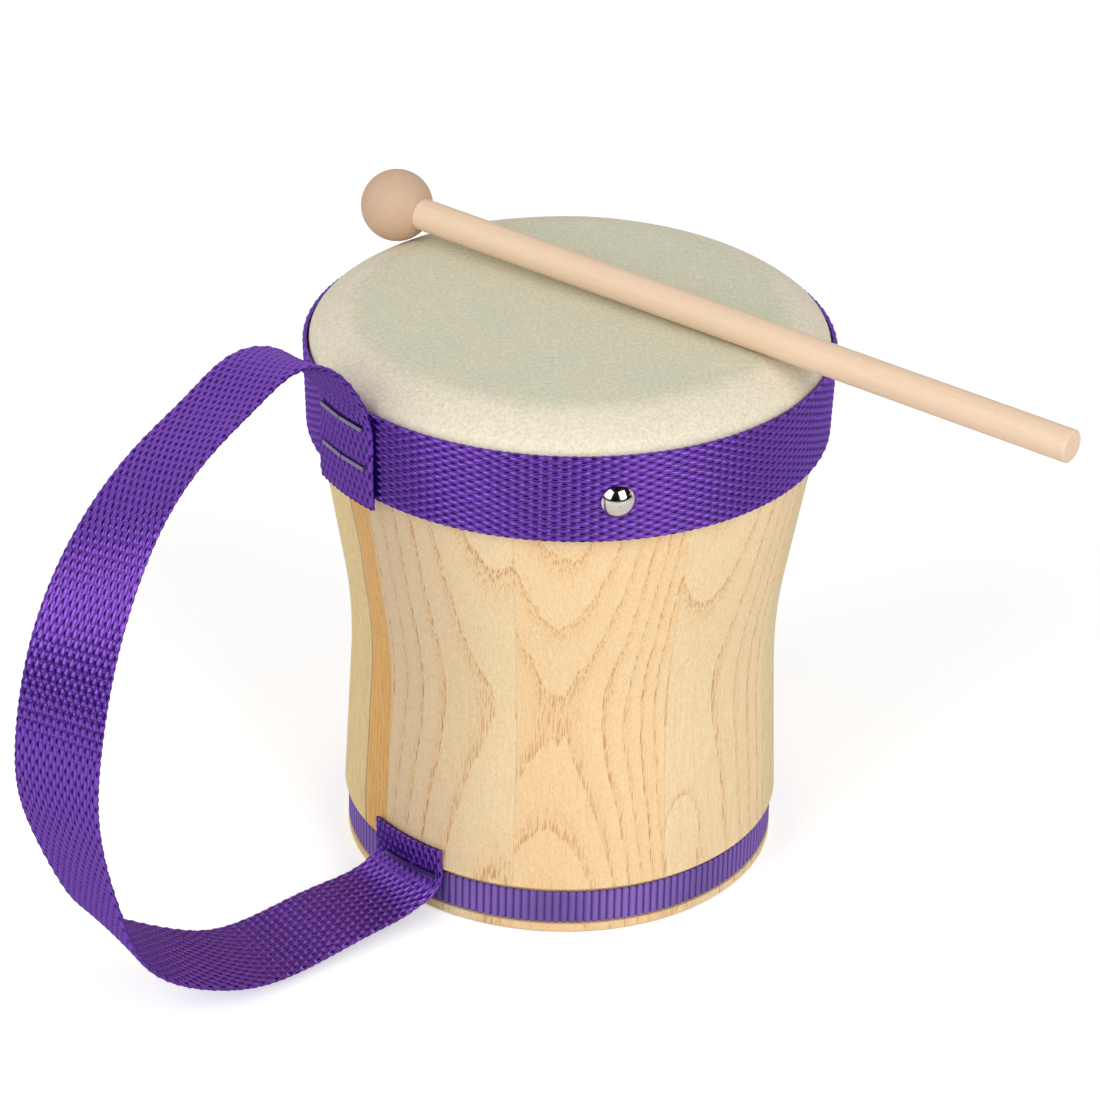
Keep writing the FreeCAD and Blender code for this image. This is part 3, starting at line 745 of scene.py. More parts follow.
class DrumHead(PropertyGroup):
    """The rawhide head."""

    thickness: FloatProperty(
        name="Skin", description="Thickness of the rawhide", default=0.9 * MM, unit="LENGTH"
    )
    flat_radius: FloatProperty(
        name="Flat", description="Radius of the flat part of the head", default=54.0 * MM,
        unit="LENGTH"
    )
    rim_drop: FloatProperty(
        name="Rim drop", description="How far the rim's widest place lies below the head",
        default=9.0 * MM, unit="LENGTH"
    )
    rim_round: FloatProperty(
        name="Rim round", description="Radius of the small curve at the rim, over the skin",
        default=5.0 * MM, unit="LENGTH"
    )
    skirt_taper: FloatProperty(
        name="Skirt taper", description="How much narrower the skirt is at its foot",
        default=0.85 * MM, unit="LENGTH"
    )
    unevenness: FloatProperty(
        name="Unevenness", description="How far the dried skin sinks here and there",
        default=0.25 * MM, unit="LENGTH"
    )
    # The creamy rim's span, partly painted light on the shoulder.
    backed_and_lit_from: FloatProperty(
        name="Rim shade from", description="Radius where the skin starts to look creamy",
        default=58.2 * MM, unit="LENGTH"
    )
    backed_and_lit_to: FloatProperty(
        name="Rim shade to", description="Radius where the skin is fully creamy",
        default=64.8 * MM, unit="LENGTH"
    )
    open_tint: FloatVectorProperty(
        name="Open skin", description="Skin over the open shell", default=colour("CFCDB5"),
        subtype="COLOR"
    )
    cloud_tint: FloatVectorProperty(
        name="Clouds", description="Warmer clouds in the skin", default=colour("D3CFB4"),
        subtype="COLOR"
    )
    # Partly painted light: the rim's cream also stands for the light the shoulder caught.
    rim_backed_and_lit_tint: FloatVectorProperty(
        name="Rim skin", description="Skin that lies on the wood", default=colour("E1D7C0"),
        subtype="COLOR"
    )
    fleck_tint: FloatVectorProperty(
        name="Flecks", description="Pale flecks of the skin's grain", default=colour("E4DFC6"),
        subtype="COLOR"
    )


class DrumWebbing(PropertyGroup):
    """The webbing of the upper band and the strap."""

    width: FloatProperty(
        name="Width", description="Width of the webbing", default=25.4 * MM, unit="LENGTH"
    )
    thickness: FloatProperty(
        name="Thickness", description="Thickness of the webbing", default=1.6 * MM, unit="LENGTH"
    )
    pick: FloatProperty(
        name="Pick", description="Distance from one weft pick to the next", default=2.45 * MM,
        unit="LENGTH"
    )
    ends: IntProperty(
        name="Warp ends", description="Warp ends side by side in the width", default=24
    )
    samples: FloatProperty(
        name="Samples", description="Mesh columns for each warp end", default=3.0
    )
    weave_depth: FloatProperty(
        name="Weave depth", description="How far the gaps lie below the floats", default=0.65 * MM,
        unit="LENGTH"
    )
    selvedge: FloatProperty(
        name="Selvedge", description="How deep the scallops of the edge are", default=0.25 * MM,
        unit="LENGTH"
    )
    # Painted light and shade: the yarn colour, a lighter colour painted on the floats and a dark
    # one painted deep in the gaps.
    yarn_tint: FloatVectorProperty(
        name="Yarn", description="Colour of the yarn", default=colour("1C0650"), subtype="COLOR"
    )
    lit_float_tint: FloatVectorProperty(
        name="Floats", description="Colour of the yarn where it stands proud",
        default=colour("30107A"), subtype="COLOR"
    )
    shaded_gap_tint: FloatVectorProperty(
        name="Gaps", description="Colour deep between the yarns", default=colour("17044A"),
        subtype="COLOR"
    )
    sheen_tint: FloatVectorProperty(
        name="Sheen", description="Tint of the yarn's satin gloss", default=colour("A66AEA"),
        subtype="COLOR"
    )
    sheen_spread: FloatProperty(
        name="Sheen spread", description="Roughness of the satin gloss", default=0.25
    )


class DrumTape(PropertyGroup):
    """The narrow ribbed tape at the foot."""

    rib: FloatProperty(
        name="Rib", description="Distance from one rib to the next", default=2.15 * MM,
        unit="LENGTH"
    )
    rib_depth: FloatProperty(
        name="Rib depth", description="How far the ribs stand up", default=0.11 * MM, unit="LENGTH"
    )
    parting: FloatProperty(
        name="Parting", description="Gap where the tape's ends meet", default=1.2 * MM,
        unit="LENGTH"
    )
    parting_bearing: FloatProperty(
        name="Parting bearing", description="Where the ends meet, left of the front",
        default=math.radians(42.4), subtype="ANGLE"
    )
    # Painted light and shade: the yarn colour between the ribs, a lighter colour painted on the
    # ribs and a darker one painted deep in the grooves.
    yarn_tint: FloatVectorProperty(
        name="Yarn", description="Colour between the ribs", default=colour("6E52B0"),
        subtype="COLOR"
    )
    lit_float_tint: FloatVectorProperty(
        name="Ribs", description="Colour of the ribs", default=colour("A286DC"), subtype="COLOR"
    )
    shaded_gap_tint: FloatVectorProperty(
        name="Grooves", description="Colour deep in the grooves", default=colour("4A3084"),
        subtype="COLOR"
    )
    sheen_tint: FloatVectorProperty(
        name="Sheen", description="Tint of the yarn's satin gloss", default=colour("8E6CB4"),
        subtype="COLOR"
    )
    sheen_spread: FloatProperty(
        name="Sheen spread", description="Roughness of the satin gloss", default=0.5
    )


class DrumStrap(PropertyGroup):
    """The carry strap's route."""

    high_bearing: FloatProperty(
        name="Upper bearing", description="Where the upper end is stapled, left of the front",
        default=math.radians(54.0), subtype="ANGLE"
    )
    low_bearing: FloatProperty(
        name="Lower bearing", description="Where the lower end is stapled, left of the front",
        default=math.radians(42.4), subtype="ANGLE"
    )
    throw: FloatProperty(
        name="Throw", description="How far the loop stands out from the band", default=112.75 * MM,
        unit="LENGTH"
    )
    top: FloatProperty(
        name="Top", description="Height of the strap's highest place", default=174.0 * MM,
        unit="LENGTH"
    )
    cup: FloatProperty(
        name="Cup", description="How far the webbing's edges lie off its middle", default=0.4 * MM,
        unit="LENGTH"
    )


class DrumHardware(PropertyGroup):
    """Nails and staples."""

    nickel_tint: FloatVectorProperty(
        name="Nickel", description="Colour of the nickel plate", default=colour("D9D3CA"),
        subtype="COLOR"
    )
    wire_tint: FloatVectorProperty(
        name="Wire", description="Colour of the staple wire", default=colour("908CA0"),
        subtype="COLOR"
    )


class DrumMallet(PropertyGroup):
    """The mallet."""

    dowel_tint: FloatVectorProperty(
        name="Dowel", description="Colour of the dowel", default=colour("E7CAAC"), subtype="COLOR"
    )
    ball_tint: FloatVectorProperty(
        name="Ball", description="Colour of the ball", default=colour("CDAC90"), subtype="COLOR"
    )
    fleck_tint: FloatVectorProperty(
        name="Flecks", description="Colour of the beech's flecks", default=colour("DDB794"),
        subtype="COLOR"
    )


class DrumStage(PropertyGroup):
    """Floor, lamps and camera."""

    lens: FloatProperty(
        name="Lens", description="Focal length on a 36 mm wide sensor, in millimetres",
        default=134.45
    )
    ambient: FloatProperty(
        name="Surrounding light", description="Strength of the light from all round", default=0.46
    )
    lamp_power: FloatProperty(
        name="Softbox power", description="Power of each softbox", default=10.2, unit="POWER"
    )


# Pieces

# How each stave was sawn, with one painted shade. heart_turn and heart_out: where the log's
# heart lies, in degrees from the stave's middle and out from the drum's axis; first: how far
# from the heart a ring starts; ring: how far apart the rings are; all in millimetres. lean and
# drift: how far the heart leans out and sideways for each millimetre of height. early: the
# porous share of a ring. painted_shade: painted shade, how much warmer and darker the wood is
# painted for each millimetre to the right, where the light fell off to one side. streaky: how
# strong its darker fibres are. oval and swell: where a ring closes to an oval, beside the
# middle and up, and how far it swells. dark and dark_from: how dark the streak of heartwood
# is, and where it starts beside the middle.
PLAIN = {
    "heart_turn": 4.0, "heart_out": 112.0, "first": 52.0, "ring": 3.0, "lean": 0.05, "drift": 0.0,
    "early": 0.34, "pale": colour("F2D7AB"), "warm": colour("EBC996"), "streak": colour("DFBB86"),
    "streaky": 0.35, "painted_shade": 0.0, "oval": (0.0, 0.0), "swell": 0.0, "dark": 0.0, "dark_from": 99.0
}
STAVE_CUTS = {
    "stave_9": {
        "heart_turn": -11.8, "heart_out": 145.0, "first": 91.35, "ring": 2.4, "lean": 0.064,
        "drift": -0.0575, "early": 0.5, "pale": colour("F5D7A9"), "warm": colour("F1CA92")
    },
    # This stave is painted warmer and darker towards its left side, a painted shade where the
    # light fell off.
    "stave_1": {
        "heart_turn": 15.4, "heart_out": 110.0, "first": 49.6, "ring": 4.6, "lean": 0.0445,
        "drift": -0.03, "early": 0.42, "pale": colour("F2D8AA"), "warm": colour("E4CAA0"),
        "painted_shade": -0.035
    },
    "stave_2": {
        "heart_turn": -30.0, "heart_out": 96.0, "first": 60.0, "ring": 1.7, "dark": 1.0,
        "pale": colour("F6DE9E"), "warm": colour("EFD18E"), "streak": colour("BE9A5C"),
        "streaky": 0.45, "dark_from": 19.0
    },
    "stave_8": {
        "heart_turn": -14.8, "heart_out": 110.0, "first": 53.9, "ring": 4.2, "lean": 0.045,
        "drift": -0.04, "early": 0.38, "pale": colour("F5DCB0"), "warm": colour("EED0A0"),
        "oval": (-15.4, 29.0), "swell": 3.6, "streaky": 0.5
    },
    "stave_7": {
        "heart_turn": 20.0, "heart_out": 100.0, "first": 50.0, "ring": 2.6,
        "pale": colour("EFDCA8"), "warm": colour("E8D098"), "streak": colour("CFB47C"),
        "streaky": 0.6
    },
    "stave_3": {"heart_turn": -10.0, "heart_out": 118.0, "ring": 2.8, "drift": 0.04},
    "stave_4": {
        "heart_turn": 6.0, "heart_out": 104.0, "ring": 3.5, "lean": -0.04, "pale": colour("EFD2A4")
    },
    "stave_5": {
        "heart_turn": -26.0, "heart_out": 98.0, "ring": 2.5, "pale": colour("E6CC9B"),
        "warm": colour("DBBD88")
    },
    "stave_6": {"heart_turn": 9.0, "heart_out": 125.0, "ring": 3.2, "drift": -0.05}
}


class DRUM_OT_finish_staves(Operator):
    """Gives each stave its own sawn ash"""

    bl_idname = "drum.finish_staves"
    bl_label = "Finish the staves"

    def execute(self, context):
        wood = context.scene.drum_wood
        for number in range(1, STAVE_COUNT + 1):
            name = "stave_%d" % number
            stave = dict(PLAIN, **STAVE_CUTS[name])
            stave["bearing"] = FIRST_JOINT + 360 / STAVE_COUNT * (number - 0.5)
            stave["seed"] = number
            dress(name, ash_material("ash_varnished_%d" % number, stave, wood))
        return {"FINISHED"}


def skin_outline(head, grow):
    """One face of the skin, from the middle of the head out and down to the skirt's edge."""
    top, foot = HEAD_HIGH[2] - head.thickness + grow, HEAD_LOW[2]
    rim = HEAD_HIGH[0] - head.thickness + grow
    small = head.rim_round - head.thickness + grow
    rim_height = HEAD_HIGH[2] - head.rim_drop
    small_middle = rim - small
    out, drop = small_middle - head.flat_radius, top - rim_height
    large = (out**2 + drop**2 - small**2) / (2 * (drop - small))
    meeting = math.atan2(large - drop, out)
    # Rings of points every 1.5 mm over the flat, then down the large and the small curve.
    rows = [(radius * MM, top) for radius in np.arange(0.5, 53.0, 1.5)]
    for radius, middle, height, angles in (
        (large, head.flat_radius, top - large, np.linspace(math.pi / 2, meeting, 14)),
        (small, small_middle, rim_height, np.linspace(meeting, 0, 9)[1:]),
    ):
        for angle in angles:
            rows.append((middle + radius * math.cos(angle), height + radius * math.sin(angle)))
    for share in np.linspace(0, 1, 6)[1:]:
        rows.append((rim - head.skirt_taper * share, rim_height + (foot - rim_height) * share))
    return rows


class DRUM_OT_stretch_head(Operator):
    """Makes the rawhide head, dried a little unevenly over the rim"""

    bl_idname = "drum.stretch_head"
    bl_label = "Stretch the head"

    def execute(self, context):
        head = context.scene.drum_head
        outer = skin_outline(head, head.thickness)
        inner = skin_outline(head, 0.0)
        points = spun(outer + inner[::-1], HEAD_TURNS)
        radius = np.hypot(points[..., 0], points[..., 1])
        bearing = np.arctan2(points[..., 1], points[..., 0])
        # Slow swells round the rim, 3, 7 and 11 to a turn, that die out 50 mm from the axis.
        swell = (
            0.5 + 0.2 * np.sin(3 * bearing + 1.0) + 0.15 * np.sin(7 * bearing + 2.2)
            + 0.15 * np.sin(11 * bearing + radius / (9 * MM))
        )
        shoulder = np.clip((radius - 50 * MM) / (12 * MM), 0, 1)
        shoulder = shoulder * (points[..., 2] > HEAD_HIGH[2] - head.rim_drop)
        points[..., 2] -= head.unevenness * swell * shoulder
        corners = len(outer) + len(inner)
        faces = tube_faces(HEAD_TURNS, corners, True)
        # The two faces of the skin are closed at the middle by small caps instead of a seam.
        faces = [
            face for face in faces
            if {face[0] % corners, face[1] % corners} != {0, corners - 1}
        ]
        starts = range(0, HEAD_TURNS * corners, corners)
        faces.append(tuple(starts))
        faces.append(tuple(start + corners - 1 for start in reversed(starts)))
        skin = new_piece("rawhide_head", points, faces, rawhide_material(head))
        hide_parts("drum_head")
        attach(skin, "drum")
        return {"FINISHED"}


class DRUM_OT_wrap_band(Operator):
    """Wraps the upper band of webbing round the skin's skirt"""

    bl_idname = "drum.wrap_band"
    bl_label = "Wrap the upper band"

    def execute(self, context):
        cloth = context.scene.drum_webbing
        strap = context.scene.drum_strap
        head = context.scene.drum_head
        radius = BAND_HIGH[0] - cloth.thickness / 2 - head.skirt_taper / 2
        height = (BAND_LOW[2] + BAND_HIGH[2]) / 2
        parting = context.scene.drum_tape.parting
        round_length = 2 * math.pi * radius - parting
        steps = round(round_length / cloth.pick) * STEPS_PER_PICK
        lengths = np.linspace(0, round_length, steps + 1)

        def frame_at(lengths):
            """The band's path, from one side of its butt joint round to the other."""
            bearing = strap.high_bearing + (lengths + parting / 2) / radius
            out = around(bearing, 1.0, 0.0)
            lean = head.skirt_taper / cloth.width
            upright = unit(np.array([0.0, 0.0, 1.0]) + lean * out)
            face = square_to(upright, out)
            middle = radius * out + np.array([0.0, 0.0, height])
            return middle, upright, face, np.zeros_like(bearing)

        material = webbing_material("polypropylene_webbing_band", cloth, 0.2)
        band = webbing_mesh("band_webbing", cloth, lengths, frame_at, material, back_every=9)
        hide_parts("upper_band")
        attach(band, "drum")
        return {"FINISHED"}


class DRUM_OT_wrap_tape(Operator):
    """Wraps the ribbed tape round the foot"""

    bl_idname = "drum.wrap_tape"
    bl_label = "Wrap the foot's tape"

    def execute(self, context):
        tape = context.scene.drum_tape
        outer, low, high = TAPE_HIGH[0], TAPE_LOW[2], TAPE_HIGH[2]
        thickness = 0.85 * MM
        round_length = 2 * math.pi * outer - tape.parting
        ribs = round(round_length / tape.rib)
        lengths = np.linspace(0, round_length, ribs * 7 + 1)
        share = np.linspace(-1, 1, 25)
        along, across = np.meshgrid(lengths, share, indexing="ij")
        rib = np.abs(np.sin(np.pi * along / round_length * ribs)) ** 0.7
        # Fine warp threads, 0.85 mm apart, cross the ribs.
        thread = np.abs(np.cos(np.pi * across * 6))
        near_edge = np.clip((np.abs(across) - 0.88) / 0.12, 0, 1)
        round_off = np.sqrt(1 - near_edge**2)
        sink = tape.rib_depth * (1 - rib) + 0.05 * MM * (1 - thread)
        surface = outer - sink - (1 - round_off) * (thickness / 2 - tape.rib_depth / 2)
        loops = 0.35 * MM * near_edge * (1 - rib)
        height = (low + high) / 2 + across * ((high - low) / 2 - loops)
        bearing = tape.parting_bearing + (along + tape.parting / 2) / outer
        front = around(bearing, surface, height)
        back_share = np.linspace(1, -1, 5)
        back_height = (low + high) / 2 + back_share * ((high - low) / 2 - 0.3 * MM)
        back = around(bearing[:, :1], outer - thickness, back_height)
        points = np.concatenate([front, back], axis=1)
        back_rise = np.zeros(back.shape[:2])
        # The rise also paints the tape's colour: lighter on the ribs and threads and darker
        # between them, as painted light and shade.
        rise = np.concatenate([rib * (0.75 + 0.25 * thread), back_rise], axis=1)
        places = np.stack([along, across * (high - low) / 2], axis=-1)
        back_places = np.stack(
            np.broadcast_arrays(along[:, :1], back_share * (high - low) / 2), axis=-1
        )
        cloth_places = np.concatenate([places, back_places], axis=1)
        faces = tube_faces(len(lengths), points.shape[1], False)
        material = webbing_material("ribbed_tape_foot", tape, 0.25, woven=False)
        ribbon = new_piece("foot_tape", points, faces, material, along=cloth_places, rise=rise)
        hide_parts("lower_band")
        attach(ribbon, "drum")
        return {"FINISHED"}


# The strap's route, as the solids have it. Each row: how far its bearing lies from the low
# end's to the high end's, how far it stands out, how high, then how far the width is turned
# from square to the bearing and tilted, in degrees.
LOOP_ROUTE = [
    (0.724, 0.223, 0.999, -12.8, 9.0),
    (0.517, 0.383, 0.977, -10.4, 12.5),
    (0.345, 0.545, 0.944, -8.4, 12.0),
    (0.207, 0.695, 0.896, -8.3, 9.5),
    (0.086, 0.825, 0.826, -11.4, 4.5),
    (0.000, 0.924, 0.737, -14.4, 0.0),
    (-0.043, 0.983, 0.633, -14.9, -1.5),
    (-0.043, 1.000, 0.522, -11.9, -2.0),
    (0.000, 0.960, 0.415, -6.4, -4.0),
    (0.052, 0.898, 0.313, -2.0, -6.5),
    (0.129, 0.816, 0.215, 2.1, -11.0),
    (0.190, 0.699, 0.139, 6.4, -15.5),
    (0.216, 0.557, 0.078, 5.6, -14.5),
    (0.233, 0.403, 0.036, 3.4, -10.0),
    (0.207, 0.235, 0.030, 2.4, -8.0),
]
HIGH_CURL = [
    (0.985, 0.040, 0.120, -1.4, 0.0),
    (0.948, 0.14, 0.307, -3.9, 0.0),
    (0.888, 0.35, 0.614, -7.2, 1.0),
    (0.810, 0.65, 0.874, -10.8, 4.5),
]
LOW_CURL = [
    (0.172, 1.10, 0.034, 3.0, -7.0),
    (0.138, 0.72, 0.035, 3.2, -5.0),
    (0.095, 0.36, 0.037, 2.5, -3.0),
    (0.043, 0.12, 0.047, 1.1, -1.0),
]


def smooth_through(knots, values, wanted):
    """A natural cubic spline through values at the knots, read at the wanted places."""
    gap = np.diff(knots)
    count = len(knots)
    system = np.eye(count)
    target = np.zeros_like(values)
    for row in range(1, count - 1):
        system[row, row - 1] = gap[row - 1]
        system[row, row] = 2 * (gap[row - 1] + gap[row])
        system[row, row + 1] = gap[row]
        target[row] = 6 * (
            (values[row + 1] - values[row]) / gap[row]
            - (values[row] - values[row - 1]) / gap[row - 1]
        )
    curl = np.linalg.solve(system, target)
    piece = np.clip(np.searchsorted(knots, wanted, side="right") - 1, 0, count - 2)
    width = gap[piece][:, None]
    after = ((wanted - knots[piece])[:, None]) / width
    before = 1 - after
    return (
        before * values[piece] + after * values[piece + 1]
        + ((before**3 - before) * curl[piece] + (after**3 - after) * curl[piece + 1])
        * width**2 / 6
    )


FLANK = 61.4 * MM  # radius at which the strap's lower end lies on the foot's tape


def strap_rows(strap, cloth, head):
    """The strap's stations end to end: middle, way across and cup."""
    on_band = BAND_HIGH[0] + 0.1 * MM + cloth.thickness / 2
    on_flank = FLANK + cloth.thickness / 2
    low_end, foot_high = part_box("strap_upper_end")[0][2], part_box("strap_lower_end")[1][2]
    high_lap, foot_lap = BAND_HIGH[2] - 2 * MM, 11.5 * MM  # where the ends leave the drum
    rows = []

    def add(way, radius, height, turn, tilt, cup):
        """One station at this share of the way from the low end's bearing to the high end's."""
        bearing = strap.low_bearing + way * (strap.high_bearing - strap.low_bearing)
        turned = bearing + math.radians(turn)
        tilted = math.radians(tilt)
        middle = (-radius * math.sin(bearing), -radius * math.cos(bearing), height)
        across = (
            math.cos(tilted) * math.cos(turned), -math.cos(tilted) * math.sin(turned),
            math.sin(tilted)
        )
        rows.append((middle, across, cup))

    cup_high, cup_low = cloth.width**2 / (8 * on_band), cloth.width**2 / (8 * on_flank)
    for share in (0.0, 0.5, 1.0):
        lean = 0.35 * MM * share * (2 * share - 1)
        radius = on_band - head.skirt_taper * (1 - share) + lean
        add(1, radius, low_end + share * (high_lap - low_end), 0, 0, cup_high)
    for way, stand, climb, turn, tilt in HIGH_CURL:
        height = high_lap + climb * (strap.top - high_lap)
        add(way, on_band + stand * cloth.width, height, turn, tilt, strap.cup)
    for way, out, up, turn, tilt in LOOP_ROUTE:
        add(way, on_band + out * strap.throw, up * strap.top, turn, tilt, strap.cup)
    for way, stand, up, turn, tilt in LOW_CURL:
        add(way, on_flank + stand * cloth.width, up * strap.top, turn, tilt, strap.cup)
    for share in (0.0, 0.5, 1.0):
        add(0, on_flank, foot_lap + share * (foot_high - foot_lap), 0, 0, cup_low)
    return rows


class DRUM_OT_lay_strap(Operator):
    """Lays the carry strap in one length, from the upper band round its loop to the foot"""

    bl_idname = "drum.lay_strap"
    bl_label = "Lay the carry strap"

    def execute(self, context):
        cloth = context.scene.drum_webbing
        strap = context.scene.drum_strap
        rows = strap_rows(strap, cloth, context.scene.drum_head)
        middles = np.array([row[0] for row in rows])
        acrosses = np.array([row[1] for row in rows])
        cups = np.array([[row[2]] for row in rows])
        knots = travelled_along(middles)
        fine = np.linspace(0, knots[-1], 4000)
        run = smooth_through(knots, middles, fine)
        travelled = travelled_along(run)
        length = float(travelled[-1])
        steps = round(length / cloth.pick) * STEPS_PER_PICK
        lengths = np.linspace(0, length, steps + 1)

        def frame_at(lengths):
            """The strap's path with its way across and its outer face's way."""
            at = np.interp(lengths, travelled, fine)
            middle = smooth_through(knots, middles, at)
            across = smooth_through(knots, acrosses, at)
            along = unit(np.gradient(middle, axis=0))
            across = square_to(along, across)
            face = np.cross(along, across)
            cup = smooth_through(knots, cups, at)[:, 0]
            return middle, across, face, -cup

        material = webbing_material("polypropylene_webbing_strap", cloth, 0.2)
        webbing = webbing_mesh("strap_webbing", cloth, lengths, frame_at, material)
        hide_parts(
            "strap_upper_end", "strap_upper_curl", "strap_loop", "strap_lower_curl",
            "strap_lower_end"
        )
        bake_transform(webbing)
        return {"FINISHED"}


class DRUM_OT_drive_hardware(Operator):
    """Finishes the nails in nickel and the staples in drawn wire"""

    bl_idname = "drum.drive_hardware"
    bl_label = "Finish nails and staples"

    def execute(self, context):
        hardware = context.scene.drum_hardware
        nickel, wire = nickel_material(hardware), wire_material(hardware)
        finishes = {
            "band_nails": nickel, "skin_staples": wire, "strap_upper_staples": wire,
            "strap_lower_staples": wire
        }
        for name, material in finishes.items():
            dress(name, material)
        return {"FINISHED"}


class DRUM_OT_finish_mallet(Operator):
    """Finishes the mallet's dowel and ball in sanded beech"""

    bl_idname = "drum.finish_mallet"
    bl_label = "Finish the mallet"

    def execute(self, context):
        mallet = context.scene.drum_mallet
        low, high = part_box("mallet_ball")
        ball = (Vector(low) + Vector(high)) / 2
        dowel_low, dowel_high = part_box("mallet_handle")
        far_end = Vector((dowel_high[0], dowel_low[1], dowel_low[2]))
        way = far_end - ball
        dowel = beech_material(
            "beech_dowel_sanded", mallet.dowel_tint, mallet.fleck_tint, ball, way
        )
        turned = beech_material(
            "beech_ball_turned", mallet.ball_tint, mallet.fleck_tint, ball,
            Vector((0.4, 0.5, 0.75))
        )
        dress("mallet_handle", dowel)
        dress("mallet_ball", turned)
        return {"FINISHED"}


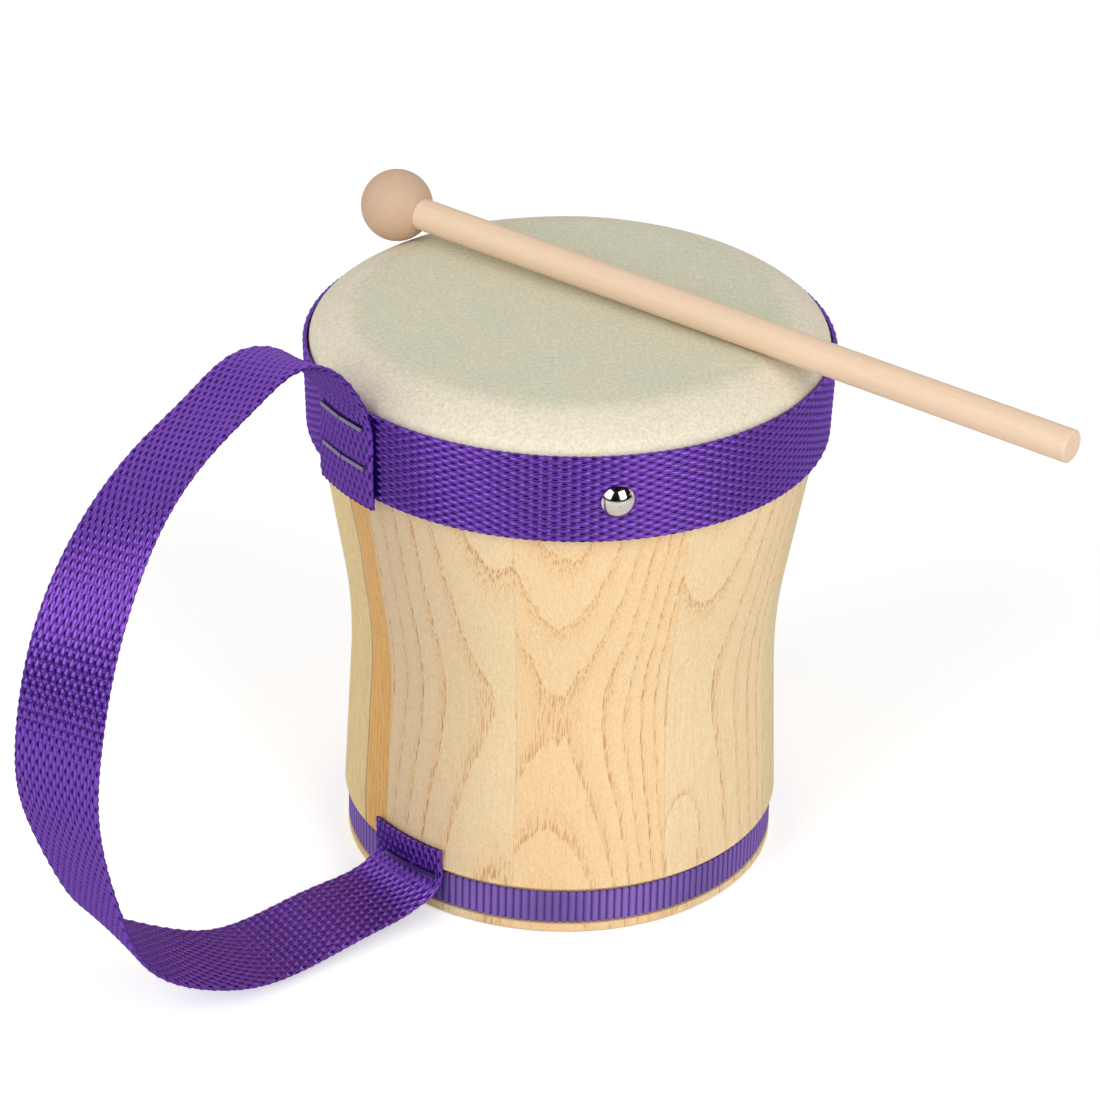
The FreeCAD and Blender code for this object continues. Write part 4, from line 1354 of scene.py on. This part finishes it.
class DRUM_OT_set_stage(Operator):
    """Sets the floor, the softboxes and the camera"""

    bl_idname = "drum.set_stage"
    bl_label = "Set the stage"

    def execute(self, context):
        stage = context.scene.drum_stage
        scene = context.scene
        scene.view_settings.view_transform = "Standard"
        camera = bpy.data.cameras.new("camera")
        camera.lens = stage.lens
        camera.sensor_width = 36.0
        camera.clip_start, camera.clip_end = 0.05, 20.0
        eye = bpy.data.objects.new("camera", camera)
        scene.collection.objects.link(eye)
        # How the camera looks down, left and over, and where it stands, as fitted to the photo.
        pitch, yaw, roll = math.radians(28.95), math.radians(0.24), math.radians(1.28)
        stand = (0, -0.999, 0.63957)
        look = Vector(
            (-math.sin(yaw) * math.cos(pitch), math.cos(yaw) * math.cos(pitch), -math.sin(pitch))
        )
        level = Vector((math.cos(yaw), math.sin(yaw), 0))
        upward = level.cross(look)
        right = level * math.cos(roll) + upward * math.sin(roll)
        top = upward * math.cos(roll) - level * math.sin(roll)
        turn = Matrix((right, top, -look)).transposed().to_4x4()
        eye.matrix_world = Matrix.Translation(stand) @ turn
        scene.camera = eye

        world = bpy.data.worlds.new("studio")
        world.use_nodes = True
        scene.world = world
        tree = world.node_tree
        tree.nodes.clear()
        rays = add_node(tree, "LightPath")
        seen = add_node(
            tree, "Math", {0: rays.outputs["Is Camera Ray"], 1: rays.outputs["Is Glossy Ray"]},
            operation="MAXIMUM"
        )
        seen_too = add_node(
            tree, "Math", {0: seen, 1: rays.outputs["Is Transmission Ray"]}, operation="MAXIMUM"
        )
        light = add_node(tree, "Background", {"Color": (1, 1, 1, 1), "Strength": stage.ambient})
        white = add_node(tree, "Background", {"Color": (1, 1, 1, 1), "Strength": 1.0})
        either = add_node(tree, "MixShader", {0: seen_too, 1: light, 2: white})
        add_node(tree, "OutputWorld", {"Surface": either})

        material, tree = new_material("studio_paper_white")
        rays = add_node(tree, "LightPath")
        paper = add_node(tree, "BsdfDiffuse", {"Color": (0.86, 0.86, 0.86, 1)})
        lift = add_node(
            tree, "Emission", {"Strength": rays.outputs["Is Camera Ray"], "Color": (1, 1, 1, 1)}
        )
        # Farther from the drum the paper is seen whiter, with no more light from it.
        place = add_node(tree, "TexCoord").outputs["Object"]
        away = add_node(tree, "VectorMath", {0: place}, operation="LENGTH")
        far = add_node(
            tree, "MapRange", {"Value": away, "From Min": 0.3, "From Max": 1.3, "To Min": 0.4},
            interpolation_type="SMOOTHSTEP"
        )
        dim = add_node(tree, "MixShader", {0: far, 2: lift})
        floor_shader = add_node(tree, "AddShader", {0: paper, 1: dim})
        finish_material(tree, floor_shader)
        reach, below = 4.0, 0.2 * MM  # the paper lies just under the drum's foot
        corners = np.array(
            [[-reach, -reach, 0], [reach, -reach, 0], [reach, reach, 0], [-reach, reach, 0]]
        )
        floor = new_piece("floor", corners - [0, 0, below], [(0, 1, 2, 3)], material, False)

        # Two softboxes stand 1.45 m off, 32 degrees up, and face the middle of the drum.
        out, up, aim = 1.45, math.radians(32), Vector((0, 0, 0.08))
        for name, bearing in (
            ("softbox_left", math.radians(-47.0)), ("softbox_right", math.radians(40.0)),
        ):
            lamp = bpy.data.lights.new(name, "AREA")
            lamp.shape = "RECTANGLE"
            lamp.size, lamp.size_y = 0.9, 1.1
            lamp.energy = stage.lamp_power
            box = bpy.data.objects.new(name, lamp)
            scene.collection.objects.link(box)
            box.location = Vector((
                out * math.sin(bearing) * math.cos(up), -out * math.cos(bearing) * math.cos(up),
                out * math.sin(up) + aim.z,
            ))
            box.rotation_euler = (aim - box.location).to_track_quat("-Z", "Y").to_euler()

        # The dark side of the studio, behind the camera, which only reflections show.
        material, tree = new_material("studio_dark_wall")
        cloth = add_node(tree, "BsdfDiffuse", {"Color": solid(colour("1C1A1E"))})
        finish_material(tree, cloth)
        distance, columns, rows = 2.6, 39, 17
        turns = np.radians(np.linspace(-95, 95, columns))
        rises = np.radians(np.linspace(2, 78, rows))
        turn, rise = np.meshgrid(turns, rises, indexing="ij")
        wall_points = distance * np.stack(
            [np.sin(turn) * np.cos(rise), -np.cos(turn) * np.cos(rise), np.sin(rise)], axis=-1
        )
        faces = []
        for column in range(columns - 1):
            for row in range(rows - 1):
                this = column * rows + row
                faces.append((this, this + 1, this + rows + 1, this + rows))
        wall = new_piece("dark_wall", wall_points, faces, material)
        for rays in ("camera", "diffuse", "shadow", "transmission"):
            setattr(wall, "visible_" + rays, False)
        return {"FINISHED"}


class DRUM_PT_panel(Panel):
    """Lists the drum's pieces in the sidebar"""

    bl_label = "Hand drum"
    bl_idname = "DRUM_PT_panel"
    bl_space_type = "VIEW_3D"
    bl_region_type = "UI"
    bl_category = "Hand drum"

    def draw(self, context):
        for operator in OPERATORS:
            self.layout.operator(operator.bl_idname)
        for group in GROUPS:
            settings = getattr(context.scene, group)
            box = self.layout.box()
            for name in settings.bl_rna.properties.keys():
                if name not in ("rna_type", "name"):
                    box.prop(settings, name)


GROUPS = {
    "drum_wood": DrumWood,
    "drum_head": DrumHead,
    "drum_webbing": DrumWebbing,
    "drum_tape": DrumTape,
    "drum_strap": DrumStrap,
    "drum_hardware": DrumHardware,
    "drum_mallet": DrumMallet,
    "drum_stage": DrumStage,
}
OPERATORS = (
    DRUM_OT_set_stage,
    DRUM_OT_finish_staves,
    DRUM_OT_stretch_head,
    DRUM_OT_wrap_band,
    DRUM_OT_wrap_tape,
    DRUM_OT_lay_strap,
    DRUM_OT_drive_hardware,
    DRUM_OT_finish_mallet,
)


def register():
    """Registers the settings, the operators and the panel."""
    for name, group in GROUPS.items():
        bpy.utils.register_class(group)
        setattr(bpy.types.Scene, name, PointerProperty(type=group))
    for operator in OPERATORS:
        bpy.utils.register_class(operator)
    bpy.utils.register_class(DRUM_PT_panel)


def unregister():
    """Takes them all out again."""
    bpy.utils.unregister_class(DRUM_PT_panel)
    for operator in reversed(OPERATORS):
        bpy.utils.unregister_class(operator)
    for name, group in reversed(list(GROUPS.items())):
        delattr(bpy.types.Scene, name)
        bpy.utils.unregister_class(group)


def main():
    """Makes the whole scene."""
    register()
    bpy.ops.drum.set_stage()
    bpy.ops.drum.finish_staves()
    bpy.ops.drum.stretch_head()
    bpy.ops.drum.wrap_band()
    bpy.ops.drum.wrap_tape()
    bpy.ops.drum.lay_strap()
    bpy.ops.drum.drive_hardware()
    bpy.ops.drum.finish_mallet()


if __name__ == "__main__":
    main()
